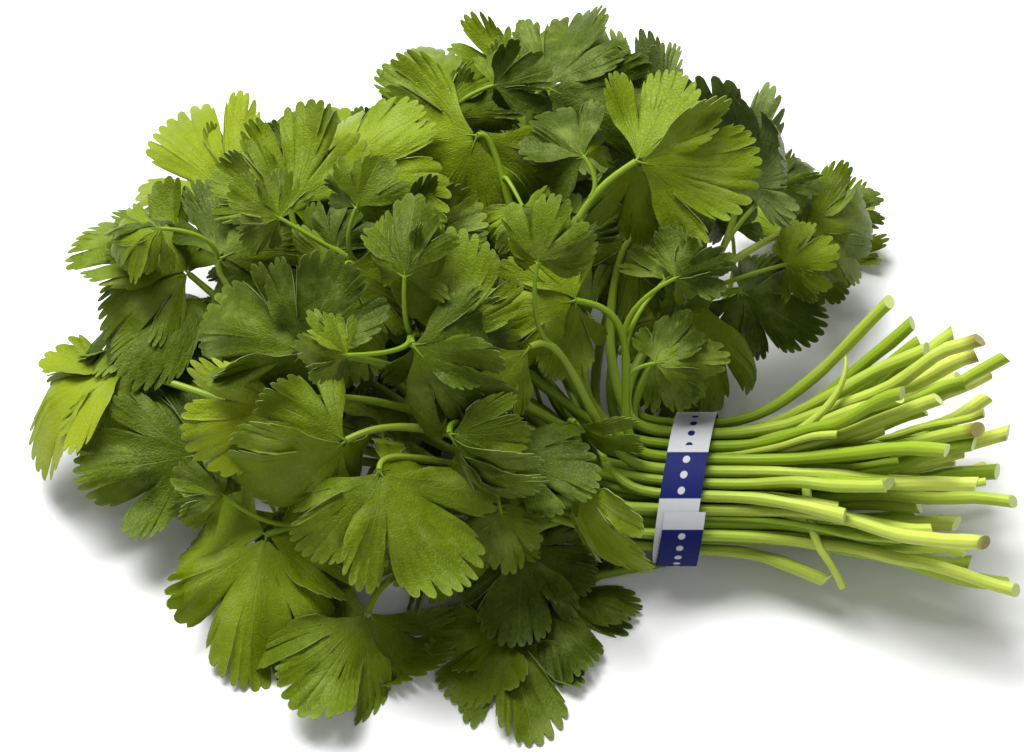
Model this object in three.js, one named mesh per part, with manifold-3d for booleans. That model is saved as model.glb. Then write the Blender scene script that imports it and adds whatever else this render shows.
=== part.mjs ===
// A bunch of coriander lying on a table: leafy stems held by a printed tie strip, with a broken sprig in
// front. Millimetres. +X points to the cut ends, +Y to the back and +Z up. The origin is on the table, under
// the tie.
import * as THREE from "three";
import { mergeVertices } from "three/addons/utils/BufferGeometryUtils.js";
import Module from "manifold-3d";

const wasm = await Module();
wasm.setup();

// ---------------------------------------------------------------- driving dimensions

const FRONT_VIEW_TILT = 55; // degrees above the table from which the leaf places below are read

const TIE = {
  width: 12.5,
  thickness: 0.6,
  layerGap: 0.4, // between the two layers where the strip laps over itself
  halfWidth: 24.6, // of the loop, inside
  halfHeight: 17.4,
  innerEnd: -106, // degrees round the loop from the front: where the strip starts, under its own lap
  outerEnd: 406, // where it ends, on top
  steps: 32,
  skew: 0.17, // how far the loop's back is set towards the cut ends, for each mm from front to back
};
const TIE_STEP = (TIE.outerEnd - TIE.innerEnd) / TIE.steps;
// The height of the loop's middle, with the strip's lowest step lying flat on the table.
const TIE_CENTRE = (TIE.halfHeight + TIE.thickness * 2 + TIE.layerGap) * cos(TIE_STEP / 2);

const STEM = {
  pitch: 4.5, // between stems in the tie
  halfWidth: 21.4, // of the packed bundle, measured to the outer stems' middles
  halfHeight: 14.4,
  endRadius: [2.0, 2.4], // at the cut end
  tieRadius: [1.6, 1.85],
  forkRadius: 1.0, // where the leaf starts
  sides: 4,
  fanSteps: 3,
  leafSteps: 6,
  clearance: 0.3,
  waist: 9, // how far it runs straight to each side of the tie's middle
  beadStep: 2.2,
};

const FAN = {
  length: [60, 97], // from the tie to the cut ends
  halfWidth: 47,
  halfHeight: 33,
  height: 37, // of its middle over the table
  twist: 24, // degrees by which the fan turns from how the stems lie in the tie
  scatter: 6,
};

const BLADE = { thickness: 0.7, halfAngle: [56, 70], shoulder: 0.6, tooth: 0.14, gap: 0.3 };
const STALK = { sideLength: 5, endLength: 2.5, halfWidth: 0.5 };
const RACHIS = 7.5; // from the side leaflets to the end leaflet

// One row a stem. Place of the leaf's fork in the front view (across, up) and over the table (height), then
// the end leaflet's heading in the front view (0 is towards the cut ends, 90 is up), how far its tip leans to
// the viewer, how far it is turned about its own rib, its length, and the angle that the side leaflets spread
// to. Where the stem's last stretch shows, the row ends with its own heading and how long it keeps it.
const LEAVES = [
  [-64, 108, 84, -112, -10, 0, 36, 58],
  [-75, 113, 76, 100, -15, 0, 25, 65],
  [-43, 124, 78, -25, 5, 0, 31, 75],
  [-49, 127, 70, 172, 0, 10, 22, 70, 60, 30],
  [-12, 111, 60, 115, -20, 160, 27, 60],
  [16, 91, 58, 108, -5, 165, 34, 65],
  [-16, 99, 98, -12, 0, 15, 29, 62, 25, 42],
  [37, 80, 46, 8, -10, 0, 25, 60],
  [17, 61, 42, -30, -5, 0, 22, 55, -2, 34],
  [6, 58, 40, -98, -10, 0, 31, 60],
  [-15, 77, 62, -35, -15, 0, 26, 60],
  [-29, 52, 50, 55, -10, 0, 17, 50],
  [-34, 57, 72, 190, 0, 0, 24, 60, 178, 30],
  [-75, 42, 78, 75, 0, 0, 27, 60],
  [-83, 43, 86, -50, 10, 25, 28, 35],
  [-48, 43, 76, -128, 5, 0, 20, 0],
  [-34, 20, 46, -35, 0, 52, 20, 0],
  [-55, 8, 46, 0, 0, 0, 21, 0],
  [-34, 3, 44, -76, 20, 48, 25, 0],
  [-93, 6, 60, -55, 5, -20, 33, 60],
  [-72, 17, 68, -62, 0, 40, 23, 45],
  [-66, -9, 32, -150, -5, 0, 26, 60],
  [-71, -21, 17, -95, 12, 0, 24, 60],
  [-49, -17, 20, -100, 12, 0, 23, 60],
  [-128, -14, 24, -102, 14, 0, 38, 85, 200, 30],
  [-97, -37, 13, -122, 22, 0, 34, 62, -95, 34],
  [-149, 10, 32, -172, 0, 0, 28, 80],
  [-172, 37, 34, -165, 0, 55, 30, 50],
  [-162, 45, 36, -95, -5, 0, 23, 70],
  [-148, 58, 44, 178, 5, 70, 30, 40],
  [-141, 57, 50, -108, -5, 5, 31, 60],
  [-153, 66, 52, 138, 5, 40, 31, 46],
  [-143, 70, 66, 25, 0, 0, 29, 55],
  [-139, 88, 56, 132, -10, 0, 33, 60],
  [-121, 85, 76, 75, 0, 0, 27, 60],
  [-103, 108, 66, 165, 0, 35, 25, 60],
  [-105, 97, 80, -25, -5, 0, 28, 60],
  [-104, 67, 86, -88, -5, 0, 26, 60],
  [-116, 41, 76, 155, 0, 0, 29, 60, 176, 34],
  [-119, 26, 62, -150, 0, 0, 26, 60],
  [-103, 15, 62, -135, 0, -30, 31, 60],
  [-87, 75, 70, -60, -10, 0, 27, 60],
  [-104, 110, 9, 104, -36, 8, 30, 62],
  [-54, 120, 8, 80, -38, -6, 32, 60],
  [-2, 106, 12, 60, -31, 5, 32, 60],
  [38, 76, 8, 30, -24, 0, 28, 60],
];

// The broken sprig: its stem's way along the table from its torn end, and its leaflets, each at a share of
// that way.
const SPRIG = {
  way: [[-7, -17, 2.6], [-24, -21, 2.4], [-42, -26, 2.1], [-51, -34, 1.7], [-56, -46, 1.5]],
  radius: [1.6, 0.9],
  steps: 6,
  stalk: 3,
  droop: 14,
  leaflets: [
    { at: 0.6, heading: 299, rise: 12, roll: -10, length: 29 },
    { at: 0.52, heading: 343, rise: 10, roll: 14, length: 25 },
    { at: 0.97, heading: 286, rise: 10, roll: 6, length: 32 },
    { at: 0.94, heading: 236, rise: 8, roll: -12, length: 24 },
    { at: 0.92, heading: 180, rise: 12, roll: 10, length: 22 },
  ],
};

// The ways in which a leaflet gives to its neighbours, as turns about its side axis and its rib, in degrees.
const LEAFLET_BENDS = [
  [0, 0], [14, 0], [-14, 0], [0, 22], [0, -22], [22, 18], [22, -18], [-22, 18], [-22, -18],
  [34, 0], [-34, 0], [10, 44], [10, -44], [-10, 44], [-10, -44], [48, 20], [-48, 20], [0, 75], [0, -75],
];
const LEAFLET_SIZES = [1, 0.78, 0.6];

// The ways in which a stem gives to its neighbours: its middle shifts across the bunch, in a widening spiral,
// and its last stretch before the leaf gets shorter or longer.
const STEM_BENDS = Array.from({ length: 300 }, (_, i) => ({
  shiftY: 0.13 * i * cos(137.5 * i),
  shiftZ: 0.13 * i * sin(137.5 * i),
  reachScale: [1, 0.6, 1.5][i % 3],
}));
const FORK_SHARE = 0.3; // of that shift, which the leaf's fork follows

// ---------------------------------------------------------------- small tools

function cos(degrees) {
  return Math.cos(THREE.MathUtils.degToRad(degrees));
}

function sin(degrees) {
  return Math.sin(THREE.MathUtils.degToRad(degrees));
}

function vec(x, y, z) {
  return new THREE.Vector3(x, y, z);
}

// Repeatable draws, each from 0 to 1, that start anew for each seed.
function draws(seed) {
  let state = (seed * 7919 + 12345) % 2147483647;
  const next = () => {
    state = (state * 48271) % 2147483647;
    return state / 2147483647;
  };
  for (let i = 0; i < 3; i++) next();
  return next;
}

function between([low, high], share) {
  return low + (high - low) * share;
}

// The front view's own axes: up the picture, and out of it to the viewer.
const VIEW_UP = vec(0, sin(FRONT_VIEW_TILT), cos(FRONT_VIEW_TILT));
const VIEW_OUT = vec(0, -cos(FRONT_VIEW_TILT), sin(FRONT_VIEW_TILT));

// A place from the front view, where the tie's middle is at (0, 0), at a height over the table.
function placeSeen(across, up, height) {
  const y = (up - VIEW_UP.z * (height - TIE_CENTRE)) / VIEW_UP.y;
  return vec(across, y, height);
}

function headingSeen(heading, lean) {
  return vec(cos(heading), 0, 0)
    .addScaledVector(VIEW_UP, sin(heading))
    .multiplyScalar(cos(lean))
    .addScaledVector(VIEW_OUT, sin(lean));
}

function solidFrom(geometry) {
  geometry.deleteAttribute("normal");
  geometry.deleteAttribute("uv");
  const merged = mergeVertices(geometry, 1e-4);
  return new wasm.Manifold(
    new wasm.Mesh({
      numProp: 3,
      vertProperties: merged.attributes.position.array,
      triVerts: new Uint32Array(merged.index.array),
    }),
  );
}

// Joins solids to one outer body. Hollows that the joins seal are filled, and scraps and slivers are left
// out.
function fused(solids) {
  const bodies = wasm.Manifold.union(solids).simplify(0.03).decompose();
  return bodies.reduce((largest, body) => (body.volume() > largest.volume() ? body : largest));
}

function geometryOf(solid) {
  const mesh = solid.getMesh();
  const geometry = new THREE.BufferGeometry()
    .setAttribute("position", new THREE.BufferAttribute(new Float32Array(mesh.vertProperties), 3))
    .setIndex(new THREE.BufferAttribute(new Uint32Array(mesh.triVerts), 1));
  geometry.computeVertexNormals();
  return geometry;
}

// ---------------------------------------------------------------- stems

// Where stems pass through the tie: rows as in stacked pipes, cut to an oval.
function tieSlots() {
  const rowStep = STEM.pitch * sin(60);
  const slots = [];
  for (let row = -4; row <= 4; row++)
    for (let column = -6; column <= 6; column++) {
      const y = (column + (row % 2 === 0 ? 0 : 0.5)) * STEM.pitch;
      const z = row * rowStep;
      if (Math.hypot(y / STEM.halfWidth, z / STEM.halfHeight) <= 1) slots.push({ y, z });
    }
  return slots;
}

// The slots in order of how well each suits a leaf: one that stands out to a side suits a slot on that side.
function slotsFor(fork, slots) {
  const far = 40 + Math.max(-fork.x, 0);
  const y = STEM.halfWidth * THREE.MathUtils.clamp((fork.y - 20) / far, -1, 1);
  const z = STEM.halfHeight * THREE.MathUtils.clamp((1.6 * (fork.z - TIE_CENTRE - 12)) / far, -1, 1);
  const misfit = (slot) => Math.hypot(slot.y - y, slot.z - z);
  return [...slots].sort((a, b) => misfit(a) - misfit(b));
}

// The half of a stem from the tie to its cut end.
function fanCurve(slot, seed, { shiftY, shiftZ }) {
  const next = draws(seed);
  const length = between(FAN.length, next());
  const a = slot.y / STEM.halfWidth;
  const b = slot.z / STEM.halfHeight;
  const aside = a * cos(FAN.twist) - b * sin(FAN.twist);
  const rise = a * sin(FAN.twist) + b * cos(FAN.twist);
  const endY = FAN.halfWidth * aside + FAN.scatter * (2 * next() - 1) + shiftY * 0.6;
  const endZ = FAN.height + FAN.halfHeight * rise + FAN.scatter * (2 * next() - 1) + shiftZ * 0.6;
  const start = vec(STEM.waist, slot.y, TIE_CENTRE + slot.z);
  const end = vec(length, endY, Math.max(endZ, STEM.endRadius[1] + 0.4));
  const late = 0.42 + 0.2 * next();
  const bend = start.clone().lerp(end, late);
  const straight = vec(length * 0.4, start.y, start.z);
  return new THREE.CubicBezierCurve3(start, straight, bend.setX(length * 0.7), end);
}

// The half of a stem from the tie to the leaf's fork.
function leafCurve(slot, leaf, { shiftY, shiftZ, reachScale }) {
  const start = vec(-STEM.waist, slot.y, TIE_CENTRE + slot.z);
  const fork = leaf.fork.clone().add(vec(0, shiftY, shiftZ).multiplyScalar(FORK_SHARE));
  fork.z = Math.max(fork.z, 4);
  const far = fork.distanceTo(start);
  const out = THREE.MathUtils.clamp(far * 0.34, 22, 55);
  const spreadY = 0.12 + (0.26 * slot.y) / STEM.halfWidth;
  const spreadZ = 0.05 + (0.26 * slot.z) / STEM.halfHeight;
  const first = start.clone().add(vec(-out, out * spreadY * 0.4, out * spreadZ * 0.4));
  first.add(vec(0, shiftY * 0.5, shiftZ * 0.5));
  const reach = reachScale * (leaf.reach ?? Math.min(far * 0.3, leaf.hook));
  const second = fork.clone().addScaledVector(leaf.arrival, -reach).add(vec(0, shiftY, shiftZ));
  first.z = Math.max(first.z, 3);
  second.z = Math.max(second.z, 3);
  return new THREE.CubicBezierCurve3(start, first, second, fork);
}

// A closed cylinder bent along points, with its own radius at each point.
function bentRod(points, radii) {
  const steps = points.length - 1;
  const geometry = new THREE.CylinderGeometry(1, 1, steps, STEM.sides, steps);
  const rings = [];
  let side = vec(0, 1, 0);
  points.forEach((point, i) => {
    const along = points[Math.min(i + 1, steps)].clone().sub(points[Math.max(i - 1, 0)]).normalize();
    side = side.clone().addScaledVector(along, -side.dot(along)).normalize();
    rings.push({ side, across: along.clone().cross(side) });
  });
  const place = geometry.attributes.position;
  for (let i = 0; i < place.count; i++) {
    const step = Math.round(place.getY(i) + steps / 2);
    const { side, across } = rings[step];
    const point = points[step].clone()
      .addScaledVector(side, -radii[step] * place.getX(i))
      .addScaledVector(across, radii[step] * place.getZ(i));
    place.setXYZ(i, point.x, point.y, point.z);
  }
  return solidFrom(geometry);
}

// Points close together along a rod, with its radius at each.
function beadsOn({ points, radii }) {
  const beads = [{ point: points[0], radius: radii[0] }];
  for (let i = 1; i < points.length; i++) {
    const count = Math.ceil(points[i - 1].distanceTo(points[i]) / STEM.beadStep);
    for (let k = 1; k <= count; k++) {
      const point = points[i - 1].clone().lerp(points[i], k / count);
      beads.push({ point, radius: between([radii[i - 1], radii[i]], k / count) });
    }
  }
  return beads;
}

function beadsAreClear(beads, laid) {
  const box = new THREE.Box3().setFromPoints(beads.map((bead) => bead.point)).expandByScalar(5);
  return laid.every((other) => {
    const near = other.beads.filter((bead) => box.containsPoint(bead.point));
    return near.every((b) =>
      beads.every((a) => {
        const room = a.radius + b.radius + STEM.clearance;
        return a.point.distanceToSquared(b.point) > room * room;
      }),
    );
  });
}

// ---------------------------------------------------------------- leaflets

// How a leaflet varies: its cuts, its fold along the rib, its droop along its length, and a wave along its
// edge.
function leafletShape(length, seed, toothed) {
  const next = draws(seed);
  return {
    length,
    toothed,
    width: 0.9 + 0.24 * next(),
    halfAngle: between(BLADE.halfAngle, next()) - (toothed ? 0 : 6),
    cut: 0.3 + 0.32 * next(),
    cutAngle: 24 + 7 * next(),
    fold: -0.1 + 0.5 * next(),
    droop: THREE.MathUtils.degToRad(10 + 45 * next()),
    wave: 0.05 + 0.07 * next(),
    waveTurn: 360 * next(),
    sway: -0.12 + 0.24 * next(),
  };
}

// How far the leaflet reaches from its base at an angle from its rib, as a share of its length.
function reachAt(angle) {
  return cos(angle) ** BLADE.shoulder;
}

// The outline in order round the leaflet, as rays from its base, with a deep cut on each side of the middle
// lobe and, on an end leaflet, teeth. Behind the base the outline is the leaflet's stalk.
function outlineOf(shape, stalk) {
  const { halfAngle, cutAngle, cut } = shape;
  const tooth = 1 - BLADE.tooth;
  const lobeEdge = cutAngle + 7;
  const plainHalf = [[cutAngle * 0.62, 1], [cutAngle, 1 - cut], [lobeEdge, 1], [halfAngle, 0.96]];
  const toothedHalf = [
    [cutAngle * 0.36, tooth], [cutAngle * 0.76, 0.98], [cutAngle, 1 - cut],
    [lobeEdge, 1], [(lobeEdge + halfAngle) / 2, tooth], [halfAngle, 0.96],
  ];
  const half = shape.toothed ? toothedHalf : plainHalf;
  const ray = ([angle, share]) => {
    const reach = shape.length * share * reachAt(angle);
    return [reach * sin(angle) * shape.width, reach * cos(angle)];
  };
  const right = [...half.map(ray), [STALK.halfWidth, -stalk]];
  const left = right.map(([across, along]) => [-across, along]).reverse();
  return [[0, shape.length], ...right, ...left];
}

// Where a flat point of the leaflet goes once it is folded, waved and drooped. It stays above the table.
function leafletPoint(shape, frame, across, along) {
  const soft = 0.12 * shape.length;
  const spread = Math.hypot(across, along) / shape.length;
  const angle = THREE.MathUtils.radToDeg(Math.atan2(across, along));
  const ripple = along > 0 ? shape.wave * shape.length * spread ** 2 * sin(3.1 * angle + shape.waveTurn) : 0;
  const lift = ripple - shape.fold * (Math.hypot(across, soft) - soft);
  const bendRadius = shape.length / shape.droop;
  const turn = along / bendRadius;
  const swing = along > 0 ? (shape.sway * along * along) / shape.length : 0;
  const point = frame.base.clone()
    .addScaledVector(frame.across, across + swing)
    .addScaledVector(frame.along, (bendRadius + lift) * Math.sin(turn))
    .addScaledVector(frame.face, (bendRadius + lift) * Math.cos(turn) - bendRadius);
  point.z = Math.max(point.z, BLADE.thickness / 2);
  return point;
}

// The direction in which the leaflet's upper side faces at a flat point.
function leafletNormal(shape, frame, across, along) {
  const point = leafletPoint(shape, frame, across, along);
  const ahead = leafletPoint(shape, frame, across, along + 0.1).sub(point);
  const aside = leafletPoint(shape, frame, across + 0.1, along).sub(point);
  return ahead.cross(aside).normalize();
}

// A leaflet is its flat outline given a thickness, whose corners then go where the bend takes them.
function blade(shape, frame, stalk, thickness) {
  const outline = outlineOf(shape, stalk).map(([across, along]) => new THREE.Vector2(across, along));
  const sheet = { depth: thickness, bevelEnabled: false };
  const geometry = new THREE.ExtrudeGeometry(new THREE.Shape(outline), sheet);
  const place = geometry.attributes.position;
  for (let i = 0; i < place.count; i++) {
    const flat = [place.getX(i), place.getY(i)];
    const raise = thickness / 2 - place.getZ(i);
    const point = leafletPoint(shape, frame, ...flat);
    point.addScaledVector(leafletNormal(shape, frame, ...flat), raise);
    place.setXYZ(i, point.x, point.y, point.z);
  }
  return solidFrom(geometry);
}

function frameOf(base, along, face) {
  const straight = face.clone().addScaledVector(along, -face.dot(along)).normalize();
  return { base, along, face: straight, across: straight.clone().cross(along) };
}

// The frame turned about its own axis across, which lifts or drops its tip, then about its rib.
function turnedFrame({ base, along, face, across }, pitch, roll) {
  const tilted = along.clone().multiplyScalar(cos(pitch)).addScaledVector(face, sin(pitch));
  const lifted = face.clone().multiplyScalar(cos(pitch)).addScaledVector(along, -sin(pitch));
  const rolled = lifted.multiplyScalar(cos(roll)).addScaledVector(across, sin(roll));
  return frameOf(base, tilted, rolled);
}

// ---------------------------------------------------------------- the bunch

// Reads one row: the fork's place, the leaf's frame, and the direction in which its stem comes in.
function readLeaf([across, up, height, heading, lean, turn, size, spread, stemHeading, reach], number) {
  const fork = placeSeen(across, up, height);
  const along = headingSeen(heading, lean);
  const facing = VIEW_OUT.clone().addScaledVector(along, -VIEW_OUT.dot(along)).normalize();
  const face = facing.applyAxisAngle(along, THREE.MathUtils.degToRad(turn));
  const outwards = fork.clone().sub(vec(0, 0, TIE_CENTRE)).normalize();
  const follows = (1 + outwards.dot(along)) / 2;
  const rising = along.clone().addScaledVector(VIEW_OUT, 0.5 * (1 - follows)).addScaledVector(outwards, 0.3);
  const arrival = stemHeading === undefined ? rising.normalize() : headingSeen(stemHeading, 8);
  const frame = frameOf(fork, along, face);
  return { number, fork, frame, size, spread, arrival, reach, hook: 12 + 18 * follows };
}

// The leaflets of one leaf: the end one, and one to each side unless the row says that there are none.
function leafletsOf(leaf) {
  const next = draws(500 + leaf.number);
  const { along, face, across } = leaf.frame;
  const tip = leaf.fork.clone().addScaledVector(along, RACHIS);
  const leaflets = [{ frame: frameOf(tip, along, face), length: leaf.size, stalk: STALK.endLength, part: 0 }];
  if (leaf.spread === 0) return leaflets;
  for (const hand of [1, -1]) {
    const angle = hand * (leaf.spread + 12 + 10 * next() - 5);
    const outwards = along.clone().multiplyScalar(cos(angle)).addScaledVector(across, sin(angle));
    const flat = frameOf(leaf.fork, outwards, face);
    const turned = turnedFrame(flat, -12 - 16 * next(), hand * (6 + 16 * next()));
    const base = leaf.fork.clone().addScaledVector(turned.along, STALK.sideLength);
    const length = leaf.size * (0.76 + 0.2 * next());
    leaflets.push({ frame: { ...turned, base }, length, stalk: STALK.sideLength, part: leaflets.length });
  }
  return leaflets;
}

// The first way to hold a leaflet that keeps it clear of all other stems' solids, or null if there is none.
function placeLeaflet(leaf, leaflet, others) {
  for (const scale of LEAFLET_SIZES)
    for (const [pitch, roll] of LEAFLET_BENDS) {
      const shape = leafletShape(leaflet.length * scale, leaf.number * 10 + leaflet.part, leaflet.part === 0);
      const bent = turnedFrame(leaflet.frame, pitch, roll);
      const side = leaf.fork.clone().addScaledVector(bent.along, leaflet.stalk);
      const frame = { ...bent, base: leaflet.part === 0 ? bent.base : side };
      const roomy = blade(shape, frame, leaflet.stalk, BLADE.thickness + 2 * BLADE.gap);
      const box = roomy.boundingBox();
      const near = others.filter((other) => boxesMeet(box, other.box));
      const clear = near.every((other) => roomy.intersect(other.solid).isEmpty());
      if (clear) return blade(shape, frame, leaflet.stalk, BLADE.thickness);
    }
  return null;
}

function boxesMeet(a, b) {
  return [0, 1, 2].every((k) => a.min[k] <= b.max[k] && b.min[k] <= a.max[k]);
}

function withBox(solid) {
  return { solid, box: solid.boundingBox() };
}

// The half of a stem from the tie to its cut end, as a rod that starts in the tie.
function fanRod(slot, bend) {
  const curve = fanCurve(slot, slot.number + 200, bend);
  const points = curve.getPoints(STEM.fanSteps);
  const radii = points.map((_, i) => between([slot.tieRadius, slot.endRadius], i / STEM.fanSteps));
  return { points, radii };
}

// The half from the tie through the leaf's fork to the end leaflet.
function leafRod(slot, leaf, bend) {
  const curve = leafCurve(slot, leaf, bend);
  const points = curve.getPoints(STEM.leafSteps);
  const radii = points.map((_, i) => between([slot.tieRadius, STEM.forkRadius], i / STEM.leafSteps));
  points.push(curve.v3.clone().addScaledVector(leaf.frame.along, RACHIS - STALK.endLength + 0.4));
  radii.push(STEM.forkRadius * 0.85);
  return { points, radii, fork: curve.v3 };
}

// The stems, each led past the ones before it. The shortest are laid first.
function buildStems(leaves) {
  const laid = [tieBeads()];
  const slots = tieSlots();
  slots.forEach((slot, i) => {
    slot.number = i + 1;
    slot.tieRadius = between(STEM.tieRadius, draws(slot.number)());
    slot.endRadius = between(STEM.endRadius, draws(slot.number + 100)());
    slot.fan = STEM_BENDS.map((bend) => fanRod(slot, bend)).find((rod) => beadsAreClear(beadsOn(rod), laid));
    if (slot.fan) laid.push({ beads: beadsOn(slot.fan), slot });
  });
  const free = new Set(slots.filter((slot) => slot.fan));
  const stems = [...leaves].sort((a, b) => a.fork.length() - b.fork.length()).map((leaf) => {
    const ways = slotsFor(leaf.fork, free).flatMap((slot, i) =>
      STEM_BENDS.map((bend, k) => ({ slot, bend, cost: i * 8 + k })),
    );
    ways.sort((a, b) => a.cost - b.cost);
    const way = ways.find(({ slot, bend }) => {
      const others = laid.filter((one) => one.slot !== slot);
      return beadsAreClear(beadsOn(leafRod(slot, leaf, bend)), others);
    });
    if (!way) throw new Error(`stem ${leaf.number} finds no clear way`);
    free.delete(way.slot);
    const { fan } = way.slot;
    const rod = leafRod(way.slot, leaf, way.bend);
    laid.push({ beads: beadsOn(rod) });
    const points = [...[...fan.points].reverse(), ...rod.points];
    const radii = [...[...fan.radii].reverse(), ...rod.radii];
    return { leaf: { ...leaf, fork: rod.fork }, solid: bentRod(points, radii) };
  });
  return stems.sort((a, b) => a.leaf.number - b.leaf.number);
}

// A place on the loop's inner face, raised by so much.
function onLoop(turn, raise) {
  return [-(TIE.halfWidth + raise) * cos(turn), TIE_CENTRE + (TIE.halfHeight + raise) * sin(turn)];
}

function tieBeads() {
  const beads = [];
  for (let turn = 0; turn < 360; turn += 6)
    for (const x of [-TIE.width / 2, 0, TIE.width / 2]) {
      const [y, z] = onLoop(turn, 0.5);
      beads.push({ point: vec(x + TIE.skew * y, y, z), radius: 0.9 });
    }
  return { beads };
}

// The strip goes once round, then steps out over its own start.
function tieBand() {
  const outer = [];
  const inner = [];
  for (let i = 0; i <= TIE.steps; i++) {
    const turn = between([TIE.innerEnd, TIE.outerEnd], i / TIE.steps);
    const raise = THREE.MathUtils.smoothstep(turn, 190, 255) * (TIE.thickness + TIE.layerGap);
    inner.push(new THREE.Vector2(...onLoop(turn, raise)));
    outer.push(new THREE.Vector2(...onLoop(turn, raise + TIE.thickness)));
  }
  const strip = new THREE.ExtrudeGeometry(new THREE.Shape([...outer, ...inner.reverse()]), {
    depth: TIE.width,
    bevelEnabled: false,
  });
  strip.translate(0, 0, -TIE.width / 2);
  strip.applyMatrix4(new THREE.Matrix4().makeBasis(vec(TIE.skew, 1, 0), vec(0, 0, 1), vec(1, 0, 0)));
  return strip;
}

function brokenSprig() {
  const way = new THREE.CatmullRomCurve3(SPRIG.way.map((point) => vec(...point)));
  const points = way.getPoints(SPRIG.steps);
  const solids = [bentRod(points, points.map((_, i) => between(SPRIG.radius, i / SPRIG.steps)))];
  SPRIG.leaflets.forEach((leaflet, i) => {
    const at = way.getPoint(leaflet.at);
    const along = vec(cos(leaflet.heading), sin(leaflet.heading), 0);
    const frame = turnedFrame(frameOf(at, along, vec(0, 0, 1)), leaflet.rise, leaflet.roll);
    frame.base = at.clone().addScaledVector(frame.along, SPRIG.stalk);
    const shape = leafletShape(leaflet.length, 900 + i, true);
    shape.droop = THREE.MathUtils.degToRad(SPRIG.droop);
    solids.push(blade(shape, frame, SPRIG.stalk, BLADE.thickness));
  });
  return fused(solids);
}

const bunch = new THREE.Group();
const leaves = LEAVES.map((row, i) => readLeaf(row, i + 1));
const stems = buildStems(leaves);
const tie = tieBand();
const taken = stems.map((stem) => [withBox(stem.solid)]);
const sprig = brokenSprig();
taken.push([withBox(solidFrom(tie.clone())), withBox(sprig)]);
for (const [i, stem] of stems.entries()) {
  const others = taken.filter((_, k) => k !== i).flat();
  for (const leaflet of leafletsOf(stem.leaf)) {
    const placed = placeLeaflet(stem.leaf, leaflet, others);
    if (placed) taken[i].push(withBox(placed));
  }
}

// Each leaf has a green of its own, from old and dark to young and bright.
function leafMaterial(seed) {
  const color = new THREE.Color(0x3f5f1c).lerp(new THREE.Color(0x7d9c30), draws(seed)());
  return new THREE.MeshStandardMaterial({ color, roughness: 0.55 });
}

for (const [i, stem] of stems.entries()) {
  const whole = fused(taken[i].map((piece) => piece.solid));
  const mesh = new THREE.Mesh(geometryOf(whole), leafMaterial(stem.leaf.number + 3000));
  mesh.name = `leafy_stem_${String(stem.leaf.number).padStart(2, "0")}`;
  bunch.add(mesh);
}

const sprigMesh = new THREE.Mesh(geometryOf(sprig), leafMaterial(3047));
sprigMesh.name = "broken_sprig";
bunch.add(sprigMesh);

const band = new THREE.Mesh(tie, new THREE.MeshStandardMaterial({ color: 0x2b3a92, roughness: 0.45 }));
band.name = "tie_band";
bunch.add(band);

export default bunch;
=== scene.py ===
# %% [markdown]
# # A bunch of coriander
# A shop bunch of coriander is about fifty leafy stems held by one printed paper tie. It lies on its side:
# the cut ends fan out at one end, and the leaves spread and curl back over the tie at the other. The
# packed frame already holds a coarse solid for each stem, so this lesson grows a fine stem and fine leaves
# along each of those solids.

# %% Load the frame
import math
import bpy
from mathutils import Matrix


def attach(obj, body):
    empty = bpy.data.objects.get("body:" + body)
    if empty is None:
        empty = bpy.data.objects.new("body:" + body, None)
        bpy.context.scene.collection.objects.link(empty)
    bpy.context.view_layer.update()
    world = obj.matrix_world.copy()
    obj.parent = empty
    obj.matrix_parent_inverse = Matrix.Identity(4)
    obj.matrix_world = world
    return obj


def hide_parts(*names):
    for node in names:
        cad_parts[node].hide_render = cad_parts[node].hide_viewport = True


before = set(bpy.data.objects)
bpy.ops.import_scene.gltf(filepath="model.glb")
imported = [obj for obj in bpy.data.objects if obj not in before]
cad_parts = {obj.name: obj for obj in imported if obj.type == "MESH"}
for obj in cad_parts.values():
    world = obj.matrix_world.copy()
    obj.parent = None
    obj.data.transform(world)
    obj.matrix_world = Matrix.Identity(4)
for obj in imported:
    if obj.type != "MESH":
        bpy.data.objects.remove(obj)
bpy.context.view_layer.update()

from types import SimpleNamespace

import bmesh
import bpy
from mathutils import Matrix, Vector, noise
from mathutils.kdtree import KDTree

MM = 0.001  # Blender's unit here is the metre, and the bunch is worked out in millimetres

# %% [markdown]
# ## Small sums
# Headings, leans and turns are easiest to write in degrees, and lengths in millimetres. Every spread of
# sizes comes from seeded draws, so each run grows the same bunch.


# %% Degrees and draws
def cos(degrees):
    return math.cos(math.radians(degrees))


def sin(degrees):
    return math.sin(math.radians(degrees))


def between(span, share):
    return span[0] + (span[1] - span[0]) * share


def draws(seed):
    """Repeatable draws from 0 to 1, at most 97 of them."""
    state = (seed * 7919 + 12345) % 2147483647
    for count in range(100):
        state = state * 48271 % 2147483647
        if count > 2:  # the first ones of neighbouring seeds are too much alike
            yield state / 2147483647


print("first draws", [round(next(draws(seed)), 3) for seed in (1, 2, 3)])

# %% [markdown]
# ## The tie comes first
# Everything is placed from the middle of the tie, at x = 0 and y = 0, with the cut ends towards +X. The
# tie rests on the table, so its size gives the height of its middle.

# %% Measures of the tie
TIE = {"width": 12.5, "thickness": 0.6, "gap": 0.4, "half_width": 24.6, "half_height": 17.4, "skew": 0.17}
TIE_STEP = 16.0  # degrees between the corners of the frame's tie
tie_reach = TIE["half_height"] + 2 * TIE["thickness"] + TIE["gap"]
TIE_CENTRE = tie_reach * cos(TIE_STEP / 2)  # its height over the table
print("the tie's middle lies", round(TIE_CENTRE, 1), "mm over the table")

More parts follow.
